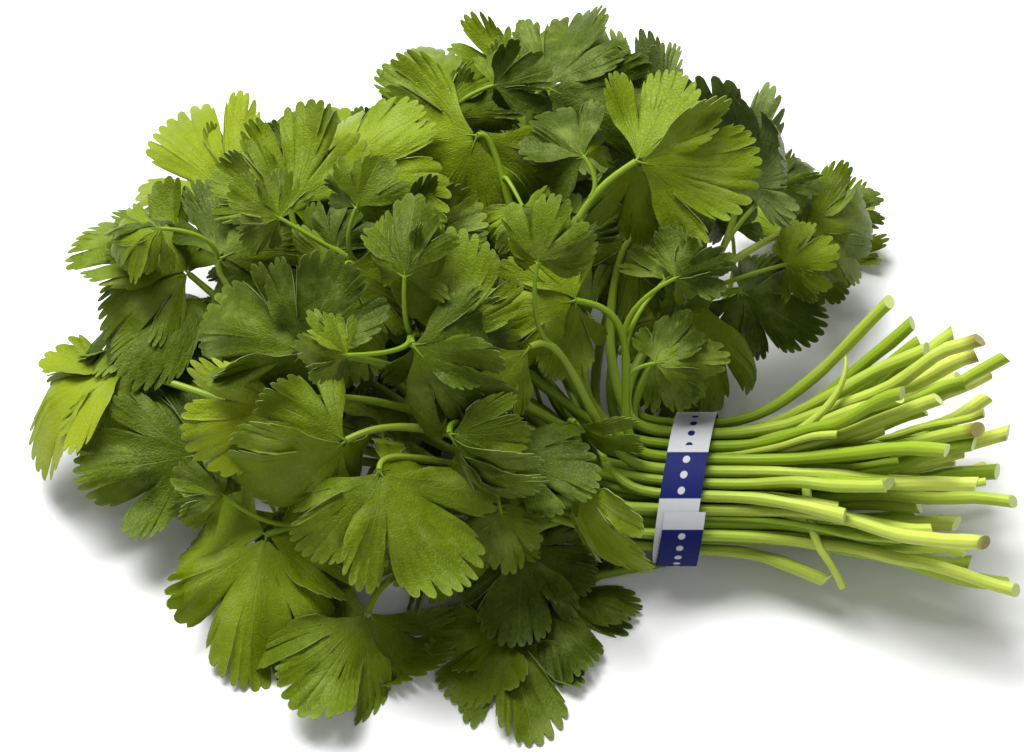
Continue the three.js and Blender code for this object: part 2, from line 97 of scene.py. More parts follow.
# %% [markdown]
# ## Camera and light
# The bunch is seen from the front, looking down at 55 degrees. A long lens from far away keeps near leaves
# from swelling. A broad light above and behind gives the leaves their sheen and leaves the heart of the
# bunch dark, and a weaker one in front opens the shadows. A small hard lamp would put sharp spots on every
# leaf, so both are large.

# %% Camera
VIEW_TILT = 55  # degrees that the camera looks down
VIEW_UP = Vector((0, sin(VIEW_TILT), cos(VIEW_TILT)))
VIEW_OUT = Vector((0, -cos(VIEW_TILT), sin(VIEW_TILT)))  # towards the camera
PICTURE_WIDTH = 315.0  # mm across the picture, level with the tie
PICTURE_MIDDLE = (-53.4, 34.2)  # across and up from the tie
CAMERA_FAR = 1500.0

camera = bpy.data.objects.new("camera", bpy.data.cameras.new("camera"))
bpy.context.collection.objects.link(camera)
bpy.context.scene.camera = camera
aim = Vector((PICTURE_MIDDLE[0], 0, TIE_CENTRE)) + VIEW_UP * PICTURE_MIDDLE[1]
camera.location = (aim + VIEW_OUT * CAMERA_FAR) * MM
camera.rotation_euler = VIEW_OUT.to_track_quat("Z", "Y").to_euler()
camera.data.sensor_width = 36
camera.data.lens = camera.data.sensor_width * CAMERA_FAR / PICTURE_WIDTH
camera.data.clip_end = 20
print("lens", round(camera.data.lens), "mm")


# %% Lights
WORLD_STRENGTH = 0.34


def soft_light(name, power, size, place):
    lamp = bpy.data.lights.new(name, "AREA")
    lamp.energy = power
    lamp.size = size
    light = bpy.data.objects.new(name, lamp)
    light.location = place
    light.rotation_euler = Vector(place).to_track_quat("Z", "Y").to_euler()
    bpy.context.collection.objects.link(light)


soft_light("key", 35, 0.8, (-0.35, 0.55, 1.1))
soft_light("front_fill", 3, 1.2, (0.5, -1.2, 0.9))
world = bpy.data.worlds.new("studio")
world.use_nodes = True
world.node_tree.nodes["Background"].inputs["Color"].default_value = (1, 1, 1, 1)
world.node_tree.nodes["Background"].inputs["Strength"].default_value = WORLD_STRENGTH
bpy.context.scene.world = world
bpy.context.scene.view_settings.view_transform = "Standard"

# %% [markdown]
# ## Writing materials as sums
# Every surface here is procedural: nodes work it out, and no picture file is needed. A node tree could be
# written as a long list of nodes and links, but that is hard to read. So one small class wraps a socket
# and lets Python's own signs add the Math nodes, and another holds the material and adds any other kind of
# node.


# %% Wires
class Wire:
    """One output socket, which Python's arithmetic extends with Math nodes."""

    def __init__(self, paint, socket):
        self.paint, self.socket = paint, socket

    def math(self, operation, *others):
        values = dict(enumerate(others))
        return self.paint.node("ShaderNodeMath", {"operation": operation}, values)

    def __add__(self, other):
        return self.math("ADD", self, other)

    def __sub__(self, other):
        return self.math("SUBTRACT", self, other)

    def __rsub__(self, other):
        return self.math("SUBTRACT", other, self)

    def __mul__(self, other):
        return self.math("MULTIPLY", self, other)

    def __pow__(self, other):
        return self.math("POWER", self, other)

    __radd__ = __add__

    def ramp(self, low, high):
        """0 at low, 1 at high and smooth between them."""
        settings = {"interpolation_type": "SMOOTHSTEP"}
        inputs = {"Value": self, "From Min": low, "From Max": high}
        return self.paint.node("ShaderNodeMapRange", settings, inputs)

    def band(self, low, high, soft=0.4):
        """1 between low and high, with soft ends, and 0 elsewhere."""
        return self.ramp(low - soft, low + soft) * (1 - self.ramp(high - soft, high + soft))

    def folded(self, width):
        """Up to the width and down again, over and over."""
        return self.math("PINGPONG", self, width)

    def line(self, repeats, width):
        """1 on thin lines that repeat along this value, and 0 between them."""
        return 1 - (self.folded(0.5 / repeats) * repeats).ramp(0.0, width)


print("methods of a wire:", [name for name in vars(Wire) if name[0] != "_"])


# %% Paints
class Paint:
    """A material under construction."""

    def __init__(self, name):
        self.material = bpy.data.materials.new(name)
        self.material.use_nodes = True
        self.tree = self.material.node_tree
        self.tree.nodes.clear()
        self.end = self.tree.nodes.new("ShaderNodeOutputMaterial")

    def node(self, kind, settings=None, inputs=None, out=0):
        node = self.tree.nodes.new(kind)
        for key, value in (settings or {}).items():
            setattr(node, key, value)
        for key, value in (inputs or {}).items():
            if isinstance(value, Wire):
                self.tree.links.new(value.socket, node.inputs[key])
            else:
                node.inputs[key].default_value = value
        return Wire(self, node.outputs[out])

    def mix(self, share, first, second):
        """first where share is 0 and second where it is 1."""
        inputs = {0: share, 6: first, 7: second}  # the sockets for colours
        return self.node("ShaderNodeMix", {"data_type": "RGBA"}, inputs, out=2)

    def layered(self, colour, *layers):
        """The colour with others laid over it in turn, each given as (share, colour)."""
        for share, over in layers:
            colour = self.mix(share, colour, over)
        return colour

    def blend(self, share, first, second):
        """The shader first where share is 0 and second where it is 1."""
        return self.node("ShaderNodeMixShader", {}, {0: share, 1: first, 2: second})

    def noise(self, vector, scale, detail=2.0, roughness=0.5):
        inputs = {"Vector": vector, "Scale": scale, "Detail": detail, "Roughness": roughness}
        return self.node("ShaderNodeTexNoise", {}, inputs)

    def place(self):
        """The point in the piece's own space, in metres."""
        return self.node("ShaderNodeTexCoord", out="Object")

    def place_x(self):
        """How far the point lies towards the cut ends, in metres."""
        return self.node("ShaderNodeSeparateXYZ", {}, {"Vector": self.place()})

    def uv(self):
        """The piece's own map, as two wires."""
        inputs = {"Vector": self.node("ShaderNodeUVMap", {"uv_map": "UVMap"})}
        split = self.node("ShaderNodeSeparateXYZ", {}, inputs)
        return split, Wire(self, split.socket.node.outputs[1])

    def attribute(self, name):
        return self.node("ShaderNodeAttribute", {"attribute_name": name}, out="Fac")

    def bump(self, height, distance, strength):
        inputs = {"Height": height, "Distance": distance, "Strength": strength}
        return self.node("ShaderNodeBump", {}, inputs)

    def principled(self, inputs):
        return self.node("ShaderNodeBsdfPrincipled", {}, inputs)

    def finish(self, shader):
        self.tree.links.new(shader.socket, self.end.inputs["Surface"])
        return self.material


print("methods of a paint:", [name for name in vars(Paint) if name[0] != "_"])

# %% [markdown]
# ## Leaf surfaces
# A coriander leaf is thin and soft, and deep green on top with a satin skin. Fine veins fan out from the
# leaf's base and fork towards the teeth. The green between them is slightly puffed and crossed by a net of
# the finest veins. The underside is paler and duller. Light also comes through a leaf, so a share of
# Translucent shaders is mixed in: one for each of the leaf's colours, in the same layers as the colours of
# its skin. Subsurface scattering could do that too, but it is slow and blurs such a thin sheet.
#
# The veins follow the leaf's own map, whose first number runs across the fan and whose second runs from
# the base to the edge. Young leaves are yellower, so each leaflet carries its own tone from 0, old and
# dark, to 1, young and bright. Side leaves deep in the bunch get mostly low tones, which paints the shade
# that falls there.


# %% Leaf material
WAX = (0.85, 1.0, 0.45, 1)  # the skin's own faint tint in its shine
YELLOWED = (0.34, 0.36, 0.01, 1)
SHONE_THROUGH = (0.40, 0.50, 0.01, 1)
HALF_LOBE = 1 / 6  # of the map's width
NET_SCALE = 880.0  # of the finest veins


def leaf_veins(paint, across, out):
    """One main vein in each of the three lobes, and side veins that leave it."""
    fan = across + HALF_LOBE + (paint.noise(paint.place(), 60.0) - 0.5) * 0.02
    main = fan.line(3.0, 0.03) * (1.1 - out)
    from_main = fan.folded(HALF_LOBE) * 6.0
    side = (out * (1 - from_main * 0.5)).line(6.0, 0.09)
    return main + side * out.ramp(0.15, 0.4) * (1 - from_main * 0.7) * 0.5


def lit_through(paint, colour, relief):
    """The light that comes through a leaf of that colour, which is yellower than the leaf."""
    yellower = tuple((own + shone) / 2 for own, shone in zip(colour, SHONE_THROUGH))
    return paint.node("ShaderNodeBsdfTranslucent", {}, {"Color": yellower, "Normal": relief})


def leaf_paint(name, old, young, vein_colour, roughness, glow):
    """The green goes from old to young with the tone, and glow is the share of light that comes through."""
    paint = Paint(name)
    across, out = paint.uv()
    place = paint.place()
    tone = paint.attribute("tone")
    veins = leaf_veins(paint, across, out)
    patches = paint.noise(place, 40.0, 3.0)
    mottle = paint.noise(place, 260.0, 4.0, 0.6)
    speckle = paint.noise(place, 900.0, 2.0)
    to_edge = {"feature": "DISTANCE_TO_EDGE"}
    cells = paint.node("ShaderNodeTexVoronoi", to_edge, {"Vector": place, "Scale": NET_SCALE})
    net = 1 - cells.ramp(0.0, 0.16)
    # pale patches of painted sheen, where light would glance off the satin skin
    painted_sheen = paint.noise(place, 75.0, 3.0, 0.65).ramp(0.48, 0.72)

    shade = tone + (patches - 0.5) * 0.8 + (mottle - 0.5) * 0.4 + (speckle - 0.5) * 0.3
    layers = (
        (shade, young),
        ((tone + patches * 0.3).ramp(0.95, 1.2) * 0.45, YELLOWED),
        # painted sheen: paler patches laid over the green
        (painted_sheen * 0.32, vein_colour),
        (out.ramp(0.9, 1.0) * 0.12, vein_colour),
        (veins * 0.24 + net * 0.05, vein_colour),
    )

    puff = (1 - veins) * 0.35 + mottle * 0.6 + patches * 1.5 - net * 0.16
    relief = paint.bump(puff, 0.0006, 0.7)
    satin = roughness + (patches - 0.5) * 0.25 + (mottle - 0.5) * 0.2
    surface = {"Base Color": paint.layered(old, *layers), "Roughness": satin, "Normal": relief}
    skin = paint.principled({**surface, "Specular IOR Level": 0.26, "Specular Tint": WAX})
    through = lit_through(paint, old, relief)
    for share, colour in layers:
        through = paint.blend(share, through, lit_through(paint, colour, relief))
    return paint.finish(paint.blend(glow, skin, through))


leaf_top = leaf_paint(
    "leaf_top", (0.034, 0.060, 0.001, 1), (0.19, 0.27, 0.004, 1), (0.30, 0.38, 0.08, 1), 0.46, 0.24
)
leaf_under = leaf_paint(
    "leaf_under", (0.10, 0.15, 0.035, 1), (0.26, 0.33, 0.08, 1), (0.36, 0.43, 0.16, 1), 0.6, 0.2
)
print("leaf materials", leaf_top.name, leaf_under.name)

# %% [markdown]
# ## Stem surfaces
# The stems are smooth, yellow-green and faintly ribbed along their length, and they pale from the leaves
# towards the cut. The ribs could be modelled, but they are so fine that bump shows them as well. The map's
# first number runs round the stem, so the ribs follow it, and the paling follows the object's own X, along
# which the bunch lies. The cut flesh is moist and pale, and a few cuts have dried and turned brown.


# %% Stem materials
PALE_STEM = ((0.20, 0.31, 0.008, 1), (0.54, 0.61, 0.11, 1))  # the two ends of the stems' spread
LEAFWARD = (0.11, 0.19, 0.004, 1)
STREAKED = (0.17, 0.27, 0.012, 1)
BETWEEN_RIBS = (0.10, 0.17, 0.004, 1)
FRECKLED = (0.30, 0.30, 0.07, 1)
FLESH = ((0.36, 0.46, 0.10, 1), (0.60, 0.68, 0.26, 1))
DRIED = (0.17, 0.10, 0.02, 1)
RIBS = 9  # round a stem


def dried_ends(paint):
    """1 on the few cuts that have dried, which lie where a coarse noise is high."""
    return paint.noise(paint.place(), 42.0, 1.0).ramp(0.56, 0.66) * paint.place_x().ramp(0.055, 0.08)


def stem_paint():
    paint = Paint("stem_skin")
    round_stem, along = paint.uv()
    place = paint.place()
    blotch = paint.noise(place, 55.0, 3.0)
    freckle = paint.noise(place, 420.0, 3.0)
    streak = paint.noise(place, 150.0, 2.0)
    wobble = round_stem + (paint.noise(place, 60.0) - 0.5) * 0.06
    ribs = wobble.folded(0.5 / RIBS) * (2.0 * RIBS)
    to_cut = paint.place_x().ramp(-0.015, 0.085)

    green = paint.layered(
        paint.mix(paint.attribute("tone"), *PALE_STEM),
        ((1 - to_cut) * 0.78, LEAFWARD),
        ((blotch - 0.4) * 0.6 + (streak - 0.5) * 0.4, STREAKED),
        (ribs.ramp(0.3, 0.0) * 0.22, BETWEEN_RIBS),
        (freckle.ramp(0.66, 0.74) * 0.25, FRECKLED),
        (along.ramp(0.02, 0.0) * dried_ends(paint) * 0.7, DRIED),
    )

    relief = paint.bump(ribs * 0.5 + freckle * 0.12, 0.00025, 0.5)
    surface = {"Base Color": green, "Roughness": 0.42 + (blotch - 0.5) * 0.2, "Normal": relief}
    shine = {"Specular IOR Level": 0.36, "Specular Tint": WAX}
    depth = {"Subsurface Weight": 0.12, "Subsurface Scale": 0.002}
    return paint.finish(paint.principled({**surface, **shine, **depth}))


def cut_paint():
    paint = Paint("stem_cut")
    grain = paint.noise(paint.place(), 1500.0, 3.0)
    flesh = paint.mix(grain, *FLESH)
    flesh = paint.mix(dried_ends(paint) * (0.5 + grain * 0.5), flesh, DRIED)
    relief = paint.bump(grain, 0.0002, 0.6)
    return paint.finish(paint.principled({"Base Color": flesh, "Roughness": 0.45, "Normal": relief}))


stem_skin = stem_paint()
stem_cut = cut_paint()
LEAFY = (leaf_top, leaf_under, stem_skin, stem_cut)
TOP, UNDER, SKIN, CUT = range(4)
print("stem materials", stem_skin.name, stem_cut.name)

# %% [markdown]
# ## Where the stems run
# The frame's stems follow a rule: each passes through the tie in its own slot, bows to its cut end on one
# side, and bends to the fork of its leaf on the other. Each gives way to the stems laid before it, by one
# of a fixed list of bends. The same rule is repeated here, and the bend that the frame used is recognised
# by the corners that it left. Tracing the coarse solid's own corners instead would keep its flat-sided
# look.

# %% Slots in the tie
WAIST = 9.0  # how far a stem runs straight to each side of the tie's middle
SLOT_PITCH, SLOTS_WIDE, SLOTS_HIGH = 4.5, 21.4, 14.4
TIE_RADIUS, CUT_RADIUS, FORK_RADIUS = (1.6, 1.85), (2.0, 2.4), 1.0


def tie_slots():
    slots = []
    for row in range(-4, 5):
        for column in range(-6, 7):
            y = (column + row % 2 / 2) * SLOT_PITCH
            z = row * SLOT_PITCH * sin(60)
            if math.hypot(y / SLOTS_WIDE, z / SLOTS_HIGH) <= 1:
                number = len(slots) + 1
                tie_radius = between(TIE_RADIUS, next(draws(number)))
                cut_radius = between(CUT_RADIUS, next(draws(number + 100)))
                slot = SimpleNamespace(number=number, y=y, z=z, tie=tie_radius, cut=cut_radius)
                slots.append(slot)
    return slots


slots = tie_slots()
print(len(slots), "slots in the tie")


# %% Curves of a stem
FAN = {"length": (60, 97), "half_width": 47, "half_height": 33, "height": 37, "twist": 24, "scatter": 6}
CUT_SHARE, FORK_SHARE = 0.6, 0.3  # of a stem's bend, which its cut end and its leaf follow
CUT_CLEAR = 0.4  # of the cut ends over the table
GOLDEN_ANGLE = 137.5
STEM_BENDS = [  # shifts across and up on a growing spiral, with a factor for the reach before the fork
    (0.13 * i * cos(GOLDEN_ANGLE * i), 0.13 * i * sin(GOLDEN_ANGLE * i), (1, 0.6, 1.5)[i % 3])
    for i in range(300)
]
LOWEST_FORK, LOWEST_STEM = 4, 3  # heights over the table
FIRST_REACH = (22, 55)  # how far a stem keeps on from the tie before it bends


def bezier(corners, t):
    a, b, c, d = corners
    s = 1 - t
    return a * s**3 + b * (3 * s * s * t) + c * (3 * s * t * t) + d * t**3


def points_on(corners, steps):
    return [bezier(corners, k / steps) for k in range(steps + 1)]


def fan_curve(slot, bend):
    """From the tie to the cut end."""
    draw = draws(slot.number + 200)
    length = between(FAN["length"], next(draw))
    a, b = slot.y / SLOTS_WIDE, slot.z / SLOTS_HIGH
    aside = a * cos(FAN["twist"]) - b * sin(FAN["twist"])
    rise = a * sin(FAN["twist"]) + b * cos(FAN["twist"])
    y = FAN["half_width"] * aside + FAN["scatter"] * (2 * next(draw) - 1)
    z = FAN["height"] + FAN["half_height"] * rise + FAN["scatter"] * (2 * next(draw) - 1)
    y, z = y + bend[0] * CUT_SHARE, z + bend[1] * CUT_SHARE
    start = Vector((WAIST, slot.y, TIE_CENTRE + slot.z))
    end = Vector((length, y, max(z, CUT_RADIUS[1] + CUT_CLEAR)))
    late = start.lerp(end, 0.42 + 0.2 * next(draw))
    late.x = length * 0.7
    return start, Vector((length * 0.4, start.y, start.z)), late, end


def leaf_curve(slot, leaf, bend):
    """From the tie to the leaf's fork."""
    shift = Vector((0, bend[0], bend[1]))
    start = Vector((-WAIST, slot.y, TIE_CENTRE + slot.z))
    fork = leaf.fork + shift * FORK_SHARE
    fork.z = max(fork.z, LOWEST_FORK)
    far = (fork - start).length
    out = min(max(far * 0.34, FIRST_REACH[0]), FIRST_REACH[1])
    spread_y = 0.12 + 0.26 * slot.y / SLOTS_WIDE
    spread_z = 0.05 + 0.26 * slot.z / SLOTS_HIGH
    first = start + Vector((-out, out * spread_y * 0.4, out * spread_z * 0.4)) + shift * 0.5
    reach = leaf.reach if leaf.reach is not None else min(far * 0.3, leaf.hook)
    second = fork - leaf.arrival * (bend[2] * reach) + shift
    first.z, second.z = max(first.z, LOWEST_STEM), max(second.z, LOWEST_STEM)
    return start, first, second, fork


print("a stem can give way by", len(STEM_BENDS), "bends")

# %% [markdown]
# ## Where the leaves sit
# A coriander leaf has three leaflets on one fork: an end one a little further out, and one to each side.
# Leaves could be scattered over a mound, but the outline and the face of a bunch come from its few dozen
# large leaves. So each has a row in a table, which places its fork as it is seen from the front, and says
# which way the leaf points and turns.

# %% The table of leaves
# across and up from the tie in the front view, height over the table, heading, lean, turn about the
# rib, length, spread of the side leaflets, and for some the stem's own heading and reach before the fork
LEAVES = [
    (-64, 108, 84, -112, -10, 0, 36, 58),
    (-75, 113, 76, 100, -15, 0, 25, 65),
    (-43, 124, 78, -25, 5, 0, 31, 75),
    (-49, 127, 70, 172, 0, 10, 22, 70, 60, 30),
    (-12, 111, 60, 115, -20, 160, 27, 60),
    (16, 91, 58, 108, -5, 165, 34, 65),
    (-16, 99, 98, -12, 0, 15, 29, 62, 25, 42),
    (37, 80, 46, 8, -10, 0, 25, 60),
    (17, 61, 42, -30, -5, 0, 22, 55, -2, 34),
    (6, 58, 40, -98, -10, 0, 31, 60),
    (-15, 77, 62, -35, -15, 0, 26, 60),
    (-29, 52, 50, 55, -10, 0, 17, 50),
    (-34, 57, 72, 190, 0, 0, 24, 60, 178, 30),
    (-75, 42, 78, 75, 0, 0, 27, 60),
    (-83, 43, 86, -50, 10, 25, 28, 35),
    (-48, 43, 76, -128, 5, 0, 20, 0),
    (-34, 20, 46, -35, 0, 52, 20, 0),
    (-55, 8, 46, 0, 0, 0, 21, 0),
    (-34, 3, 44, -76, 20, 48, 25, 0),
    (-93, 6, 60, -55, 5, -20, 33, 60),
    (-72, 17, 68, -62, 0, 40, 23, 45),
    (-66, -9, 32, -150, -5, 0, 26, 60),
    (-71, -21, 17, -95, 12, 0, 24, 60),
    (-49, -17, 20, -100, 12, 0, 23, 60),
    (-128, -14, 24, -102, 14, 0, 38, 85, 200, 30),
    (-97, -37, 13, -122, 22, 0, 34, 62, -95, 34),
    (-149, 10, 32, -172, 0, 0, 28, 80),
    (-172, 37, 34, -165, 0, 55, 30, 50),
    (-162, 45, 36, -95, -5, 0, 23, 70),
    (-148, 58, 44, 178, 5, 70, 30, 40),
    (-141, 57, 50, -108, -5, 5, 31, 60),
    (-153, 66, 52, 138, 5, 40, 31, 46),
    (-143, 70, 66, 25, 0, 0, 29, 55),
    (-139, 88, 56, 132, -10, 0, 33, 60),
    (-121, 85, 76, 75, 0, 0, 27, 60),
    (-103, 108, 66, 165, 0, 35, 25, 60),
    (-105, 97, 80, -25, -5, 0, 28, 60),
    (-104, 67, 86, -88, -5, 0, 26, 60),
    (-116, 41, 76, 155, 0, 0, 29, 60, 176, 34),
    (-119, 26, 62, -150, 0, 0, 26, 60),
    (-103, 15, 62, -135, 0, -30, 31, 60),
    (-87, 75, 70, -60, -10, 0, 27, 60),
    (-104, 110, 9, 104, -36, 8, 30, 62),
    (-54, 120, 8, 80, -38, -6, 32, 60),
    (-2, 106, 12, 60, -31, 5, 32, 60),
    (38, 76, 8, 30, -24, 0, 28, 60),
]
RACHIS = 7.5  # from the fork to the end leaflet
STALK = 5.0  # from the fork to a side leaflet
STEM_LEAN = 8  # of a stem with its own heading


def point_seen(across, up, height):
    """The point at a height over the table that is seen at a place in the front view."""
    return Vector((across, (up - VIEW_UP.z * (height - TIE_CENTRE)) / VIEW_UP.y, height))


def direction_seen(heading, lean):
    """A heading in the front view, leaning out of it."""
    flat = Vector((cos(heading), 0, 0)) + VIEW_UP * sin(heading)
    return flat * cos(lean) + VIEW_OUT * sin(lean)


def frame_of(base, along, face):
    """A place with three directions square to each other: along the rib, out of the face and across."""
    straight = (face - along * face.dot(along)).normalized()
    return SimpleNamespace(base=base, along=along, face=straight, across=straight.cross(along))


def turned(leaf_frame, pitch, roll):
    """The frame turned about its axis across, which lifts or drops its tip, then about its rib."""
    along = leaf_frame.along * cos(pitch) + leaf_frame.face * sin(pitch)
    face = leaf_frame.face * cos(pitch) - leaf_frame.along * sin(pitch)
    return frame_of(leaf_frame.base, along, face * cos(roll) + leaf_frame.across * sin(roll))


def read_leaf(number, row):
    across, up, height, heading, lean, turn, size, spread, stem_heading, reach = (*row, None, None)[:10]
    fork = point_seen(across, up, height)
    along = direction_seen(heading, lean)
    facing = (VIEW_OUT - along * VIEW_OUT.dot(along)).normalized()
    face = Matrix.Rotation(math.radians(turn), 3, along) @ facing
    outwards = (fork - Vector((0, 0, TIE_CENTRE))).normalized()
    follows = (1 + outwards.dot(along)) / 2
    arrival = (along + VIEW_OUT * (0.5 * (1 - follows)) + outwards * 0.3).normalized()
    if stem_heading is not None:
        arrival = direction_seen(stem_heading, STEM_LEAN)
    return SimpleNamespace(
        number=number, fork=fork, frame=frame_of(fork, along, face), size=size, spread=spread,
        arrival=arrival, reach=reach, hook=12 + 18 * follows,
    )


leaves = [read_leaf(i + 1, row) for i, row in enumerate(LEAVES)]
print(len(leaves), "leaves, the highest fork at", round(max(leaf.fork.z for leaf in leaves)), "mm")

# %% [markdown]
# ## One leaflet
# A leaflet is a fan about its base: three lobes parted by two deep cuts, each lobe with blunt teeth, and
# straight edges that narrow to the stalk. A flat fan is folded along its rib, drooped along its length and
# waved at its edge, and all of that is one formula from a flat place to a place in the bunch. Draping it
# as cloth would lose the teeth.

# %% Shape of a leaflet
HALF_ANGLE = (56, 70)  # spread of the fans' half angles
SHOULDER = 0.6  # 0 for a round fan, 1 for a narrow one
HALF_THICK = 0.35  # of the frame's blades
LEAFLET_BENDS = [  # pitch and roll by which a leaflet gives way
    (0, 0), (14, 0), (-14, 0), (0, 22), (0, -22), (22, 18), (22, -18), (-22, 18), (-22, -18),
    (34, 0), (-34, 0), (10, 44), (10, -44), (-10, 44), (-10, -44), (48, 20), (-48, 20), (0, 75), (0, -75),
]
LEAFLET_SIZES = (1, 0.78, 0.6)


def leaflet_shape(length, seed, is_end, droop=None):
    """The numbers that make one leaflet unlike the next, drawn from its seed."""
    draw = draws(seed)
    shape = SimpleNamespace(
        length=length, width=0.9 + 0.24 * next(draw),
        half_angle=between(HALF_ANGLE, next(draw)) - (0 if is_end else 6),
        cut=0.3 + 0.32 * next(draw), cut_angle=24 + 7 * next(draw), fold=-0.1 + 0.5 * next(draw),
        droop=math.radians(10 + 45 * next(draw)), wave=0.05 + 0.07 * next(draw),
        wave_turn=360 * next(draw), sway=-0.12 + 0.24 * next(draw), seed=seed,
    )
    if droop is not None:
        shape.droop = math.radians(droop)
    return shape


def leaflet_point(shape, base_frame, across, along):
    """Where a flat point of the leaflet goes once it is folded, waved and drooped."""
    soft = 0.12 * shape.length
    out = math.hypot(across, along) / shape.length
    angle = math.degrees(math.atan2(across, along))
    ripple = shape.wave * shape.length * out**2 * sin(3.1 * angle + shape.wave_turn) if along > 0 else 0
    lift = ripple - shape.fold * (math.hypot(across, soft) - soft)
    bend_radius = shape.length / shape.droop
    turn = along / bend_radius
    swing = shape.sway * along * along / shape.length if along > 0 else 0
    point = (
        base_frame.base
        + base_frame.across * (across + swing)
        + base_frame.along * ((bend_radius + lift) * math.sin(turn))
        + base_frame.face * ((bend_radius + lift) * math.cos(turn) - bend_radius)
    )
    point.z = max(point.z, HALF_THICK)
    return point


def polar(shape, angle, share):
    """The flat point at an angle from the rib, at a share of the plain fan's reach."""
    reach = shape.length * share * cos(angle) ** SHOULDER
    return reach * sin(angle) * shape.width, reach * cos(angle)


print("a leaflet can give way by", len(LEAFLET_BENDS), "turns and", len(LEAFLET_SIZES), "sizes")

# %% [markdown]
# ## Finding the frame's own choices
# Each leaflet in the frame also gave way to its neighbours, by one of a fixed list of turns and sizes. A
# tree of the node's corners answers quickly whether a guess fits: a ring of the stem leaves four corners
# at its radius, and a blade leaves two corners at half its thickness from each point of its outline.


# %% Corner trees
NEAR = 0.03  # mm by which a corner may miss


def corner_tree(node):
    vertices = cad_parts[node].data.vertices
    tree = KDTree(len(vertices))
    for i, vertex in enumerate(vertices):
        tree.insert(vertex.co / MM, i)
    tree.balance()
    return tree


def corners_at(tree, point, count, distance):
    """How many of the nearest corners lie at that distance from the point."""
    return sum(abs(found[2] - distance) < NEAR for found in tree.find_n(point, count))


def fitting_slot(tree):
    def fit(slot):
        return corners_at(tree, Vector((-WAIST, slot.y, TIE_CENTRE + slot.z)), 4, slot.tie)

    return max(slots, key=fit)


def fitting_fan(tree, slot):
    curves = (fan_curve(slot, bend) for bend in STEM_BENDS)
    return next(curve for curve in curves if corners_at(tree, curve[3], 4, slot.cut) > 3)


def fitting_leaf_curve(tree, slot, leaf):
    radii = [(t, between((slot.tie, FORK_RADIUS), t)) for t in (1 / 3, 1 / 2, 2 / 3)]

    def fit(curve):
        return sum(corners_at(tree, bezier(curve, t), 4, radius) for t, radius in radii)

    return max((leaf_curve(slot, leaf, bend) for bend in STEM_BENDS), key=fit)


def blade_fit(tree, shape, base_frame):
    edges = ((shape.cut_angle, 1 - shape.cut), (shape.cut_angle + 7, 1), (shape.half_angle, 0.96))
    checks = ((0, 1), *edges, *((-angle, share) for angle, share in edges))
    hits = 0
    for angle, share in checks:
        point = leaflet_point(shape, base_frame, *polar(shape, angle, share))
        hits += corners_at(tree, point, 2, HALF_THICK) > 1
    return hits


def leaflet_guesses(leaf):
    """Where the rule places the end leaflet and the two side ones, as (frame, length)."""
    draw = draws(500 + leaf.number)
    flat = frame_of(leaf.fork, leaf.frame.along, leaf.frame.face)
    guesses = [(flat, leaf.size)]
    for hand in (1, -1) if leaf.spread else ():
        angle = hand * (leaf.spread + 12 + 10 * next(draw) - 5)
        outwards = flat.along * cos(angle) + flat.across * sin(angle)
        pitch, roll = -12 - 16 * next(draw), hand * (6 + 16 * next(draw))
        side = turned(frame_of(leaf.fork, outwards, flat.face), pitch, roll)
        guesses.append((side, leaf.size * (0.76 + 0.2 * next(draw))))
    return guesses


def leaflets_of(leaf, tree):
    """The leaflets that the frame holds for this leaf, as (shape, frame)."""
    found = []
    for part, (guess, size) in enumerate(leaflet_guesses(leaf)):
        most, best = 2, None
        for scale in LEAFLET_SIZES:
            shape = leaflet_shape(size * scale, leaf.number * 10 + part, part == 0)
            for pitch, roll in LEAFLET_BENDS:
                bent = turned(guess, pitch, roll)
                bent.base = leaf.fork + (bent.along * STALK if part else guess.along * RACHIS)
                hits = blade_fit(tree, shape, bent)
                if hits > most:
                    most, best = hits, (shape, bent)
        if best:
            found.append(best)
    return found


print("the first stem has", len(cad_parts["leafy_stem_01"].data.vertices), "corners")

# %% Reading the frame's stems
plants = []
for leaf in leaves:
    tree = corner_tree(f"leafy_stem_{leaf.number:02d}")
    slot = fitting_slot(tree)
    plant = SimpleNamespace(leaf=leaf, slot=slot, side_leaves=[], torn=[])
    plant.fan = fitting_fan(tree, slot)
    plant.side = fitting_leaf_curve(tree, slot, leaf)
    leaf.fork = plant.side[3]
    plant.blades = leaflets_of(leaf, tree)
    plants.append(plant)
print("leaflets found:", sum(len(plant.blades) for plant in plants))

# %% [markdown]
# ## Growing meshes
# Both a stem and a blade start as Blender's own grid, whose points are then moved: round a curve for a
# stem, and through the leaflet's formula for a blade. A bevelled curve would be quicker for a stem, but a
# grid can also slant its cut, and it brings a map, so the veins and ribs follow the surface. A leaflet's
# tone is a number on each of its points, which the materials read.


# %% Grids and tubes
CUT_SLANT = 0.5  # how far a cut end slants, as a share of its radius
SEAM = 0.0005  # mm within which a tube's two long edges are joined


def new_bm():
    bm = bmesh.new()
    bm.loops.layers.uv.new("UVMap")
    bm.verts.layers.float.new("tone")
    return bm


def mapped_grid(bm, columns, rows, place, tone):
    """A grid whose points go to place(u, v), with u and v from 0 to 1."""
    made = bmesh.ops.create_grid(bm, x_segments=columns, y_segments=rows, size=1, calc_uvs=True)["verts"]
    layer = bm.verts.layers.float["tone"]
    for vert in made:
        vert.co = place((vert.co.x + 1) / 2, (vert.co.y + 1) / 2)
        vert[layer] = tone
    return made, list({face for vert in made for face in vert.link_faces})


def rings_along(points):
    """A ring's centre and its two directions for each point, with no twist between neighbours."""
    side = Vector((0, 1, 0))
    rings = []
    for i, point in enumerate(points):
        along = (points[min(i + 1, len(points) - 1)] - points[max(i - 1, 0)]).normalized()
        side = (side - along * side.dot(along)).normalized()
        rings.append((point, side, along.cross(side)))
    return rings


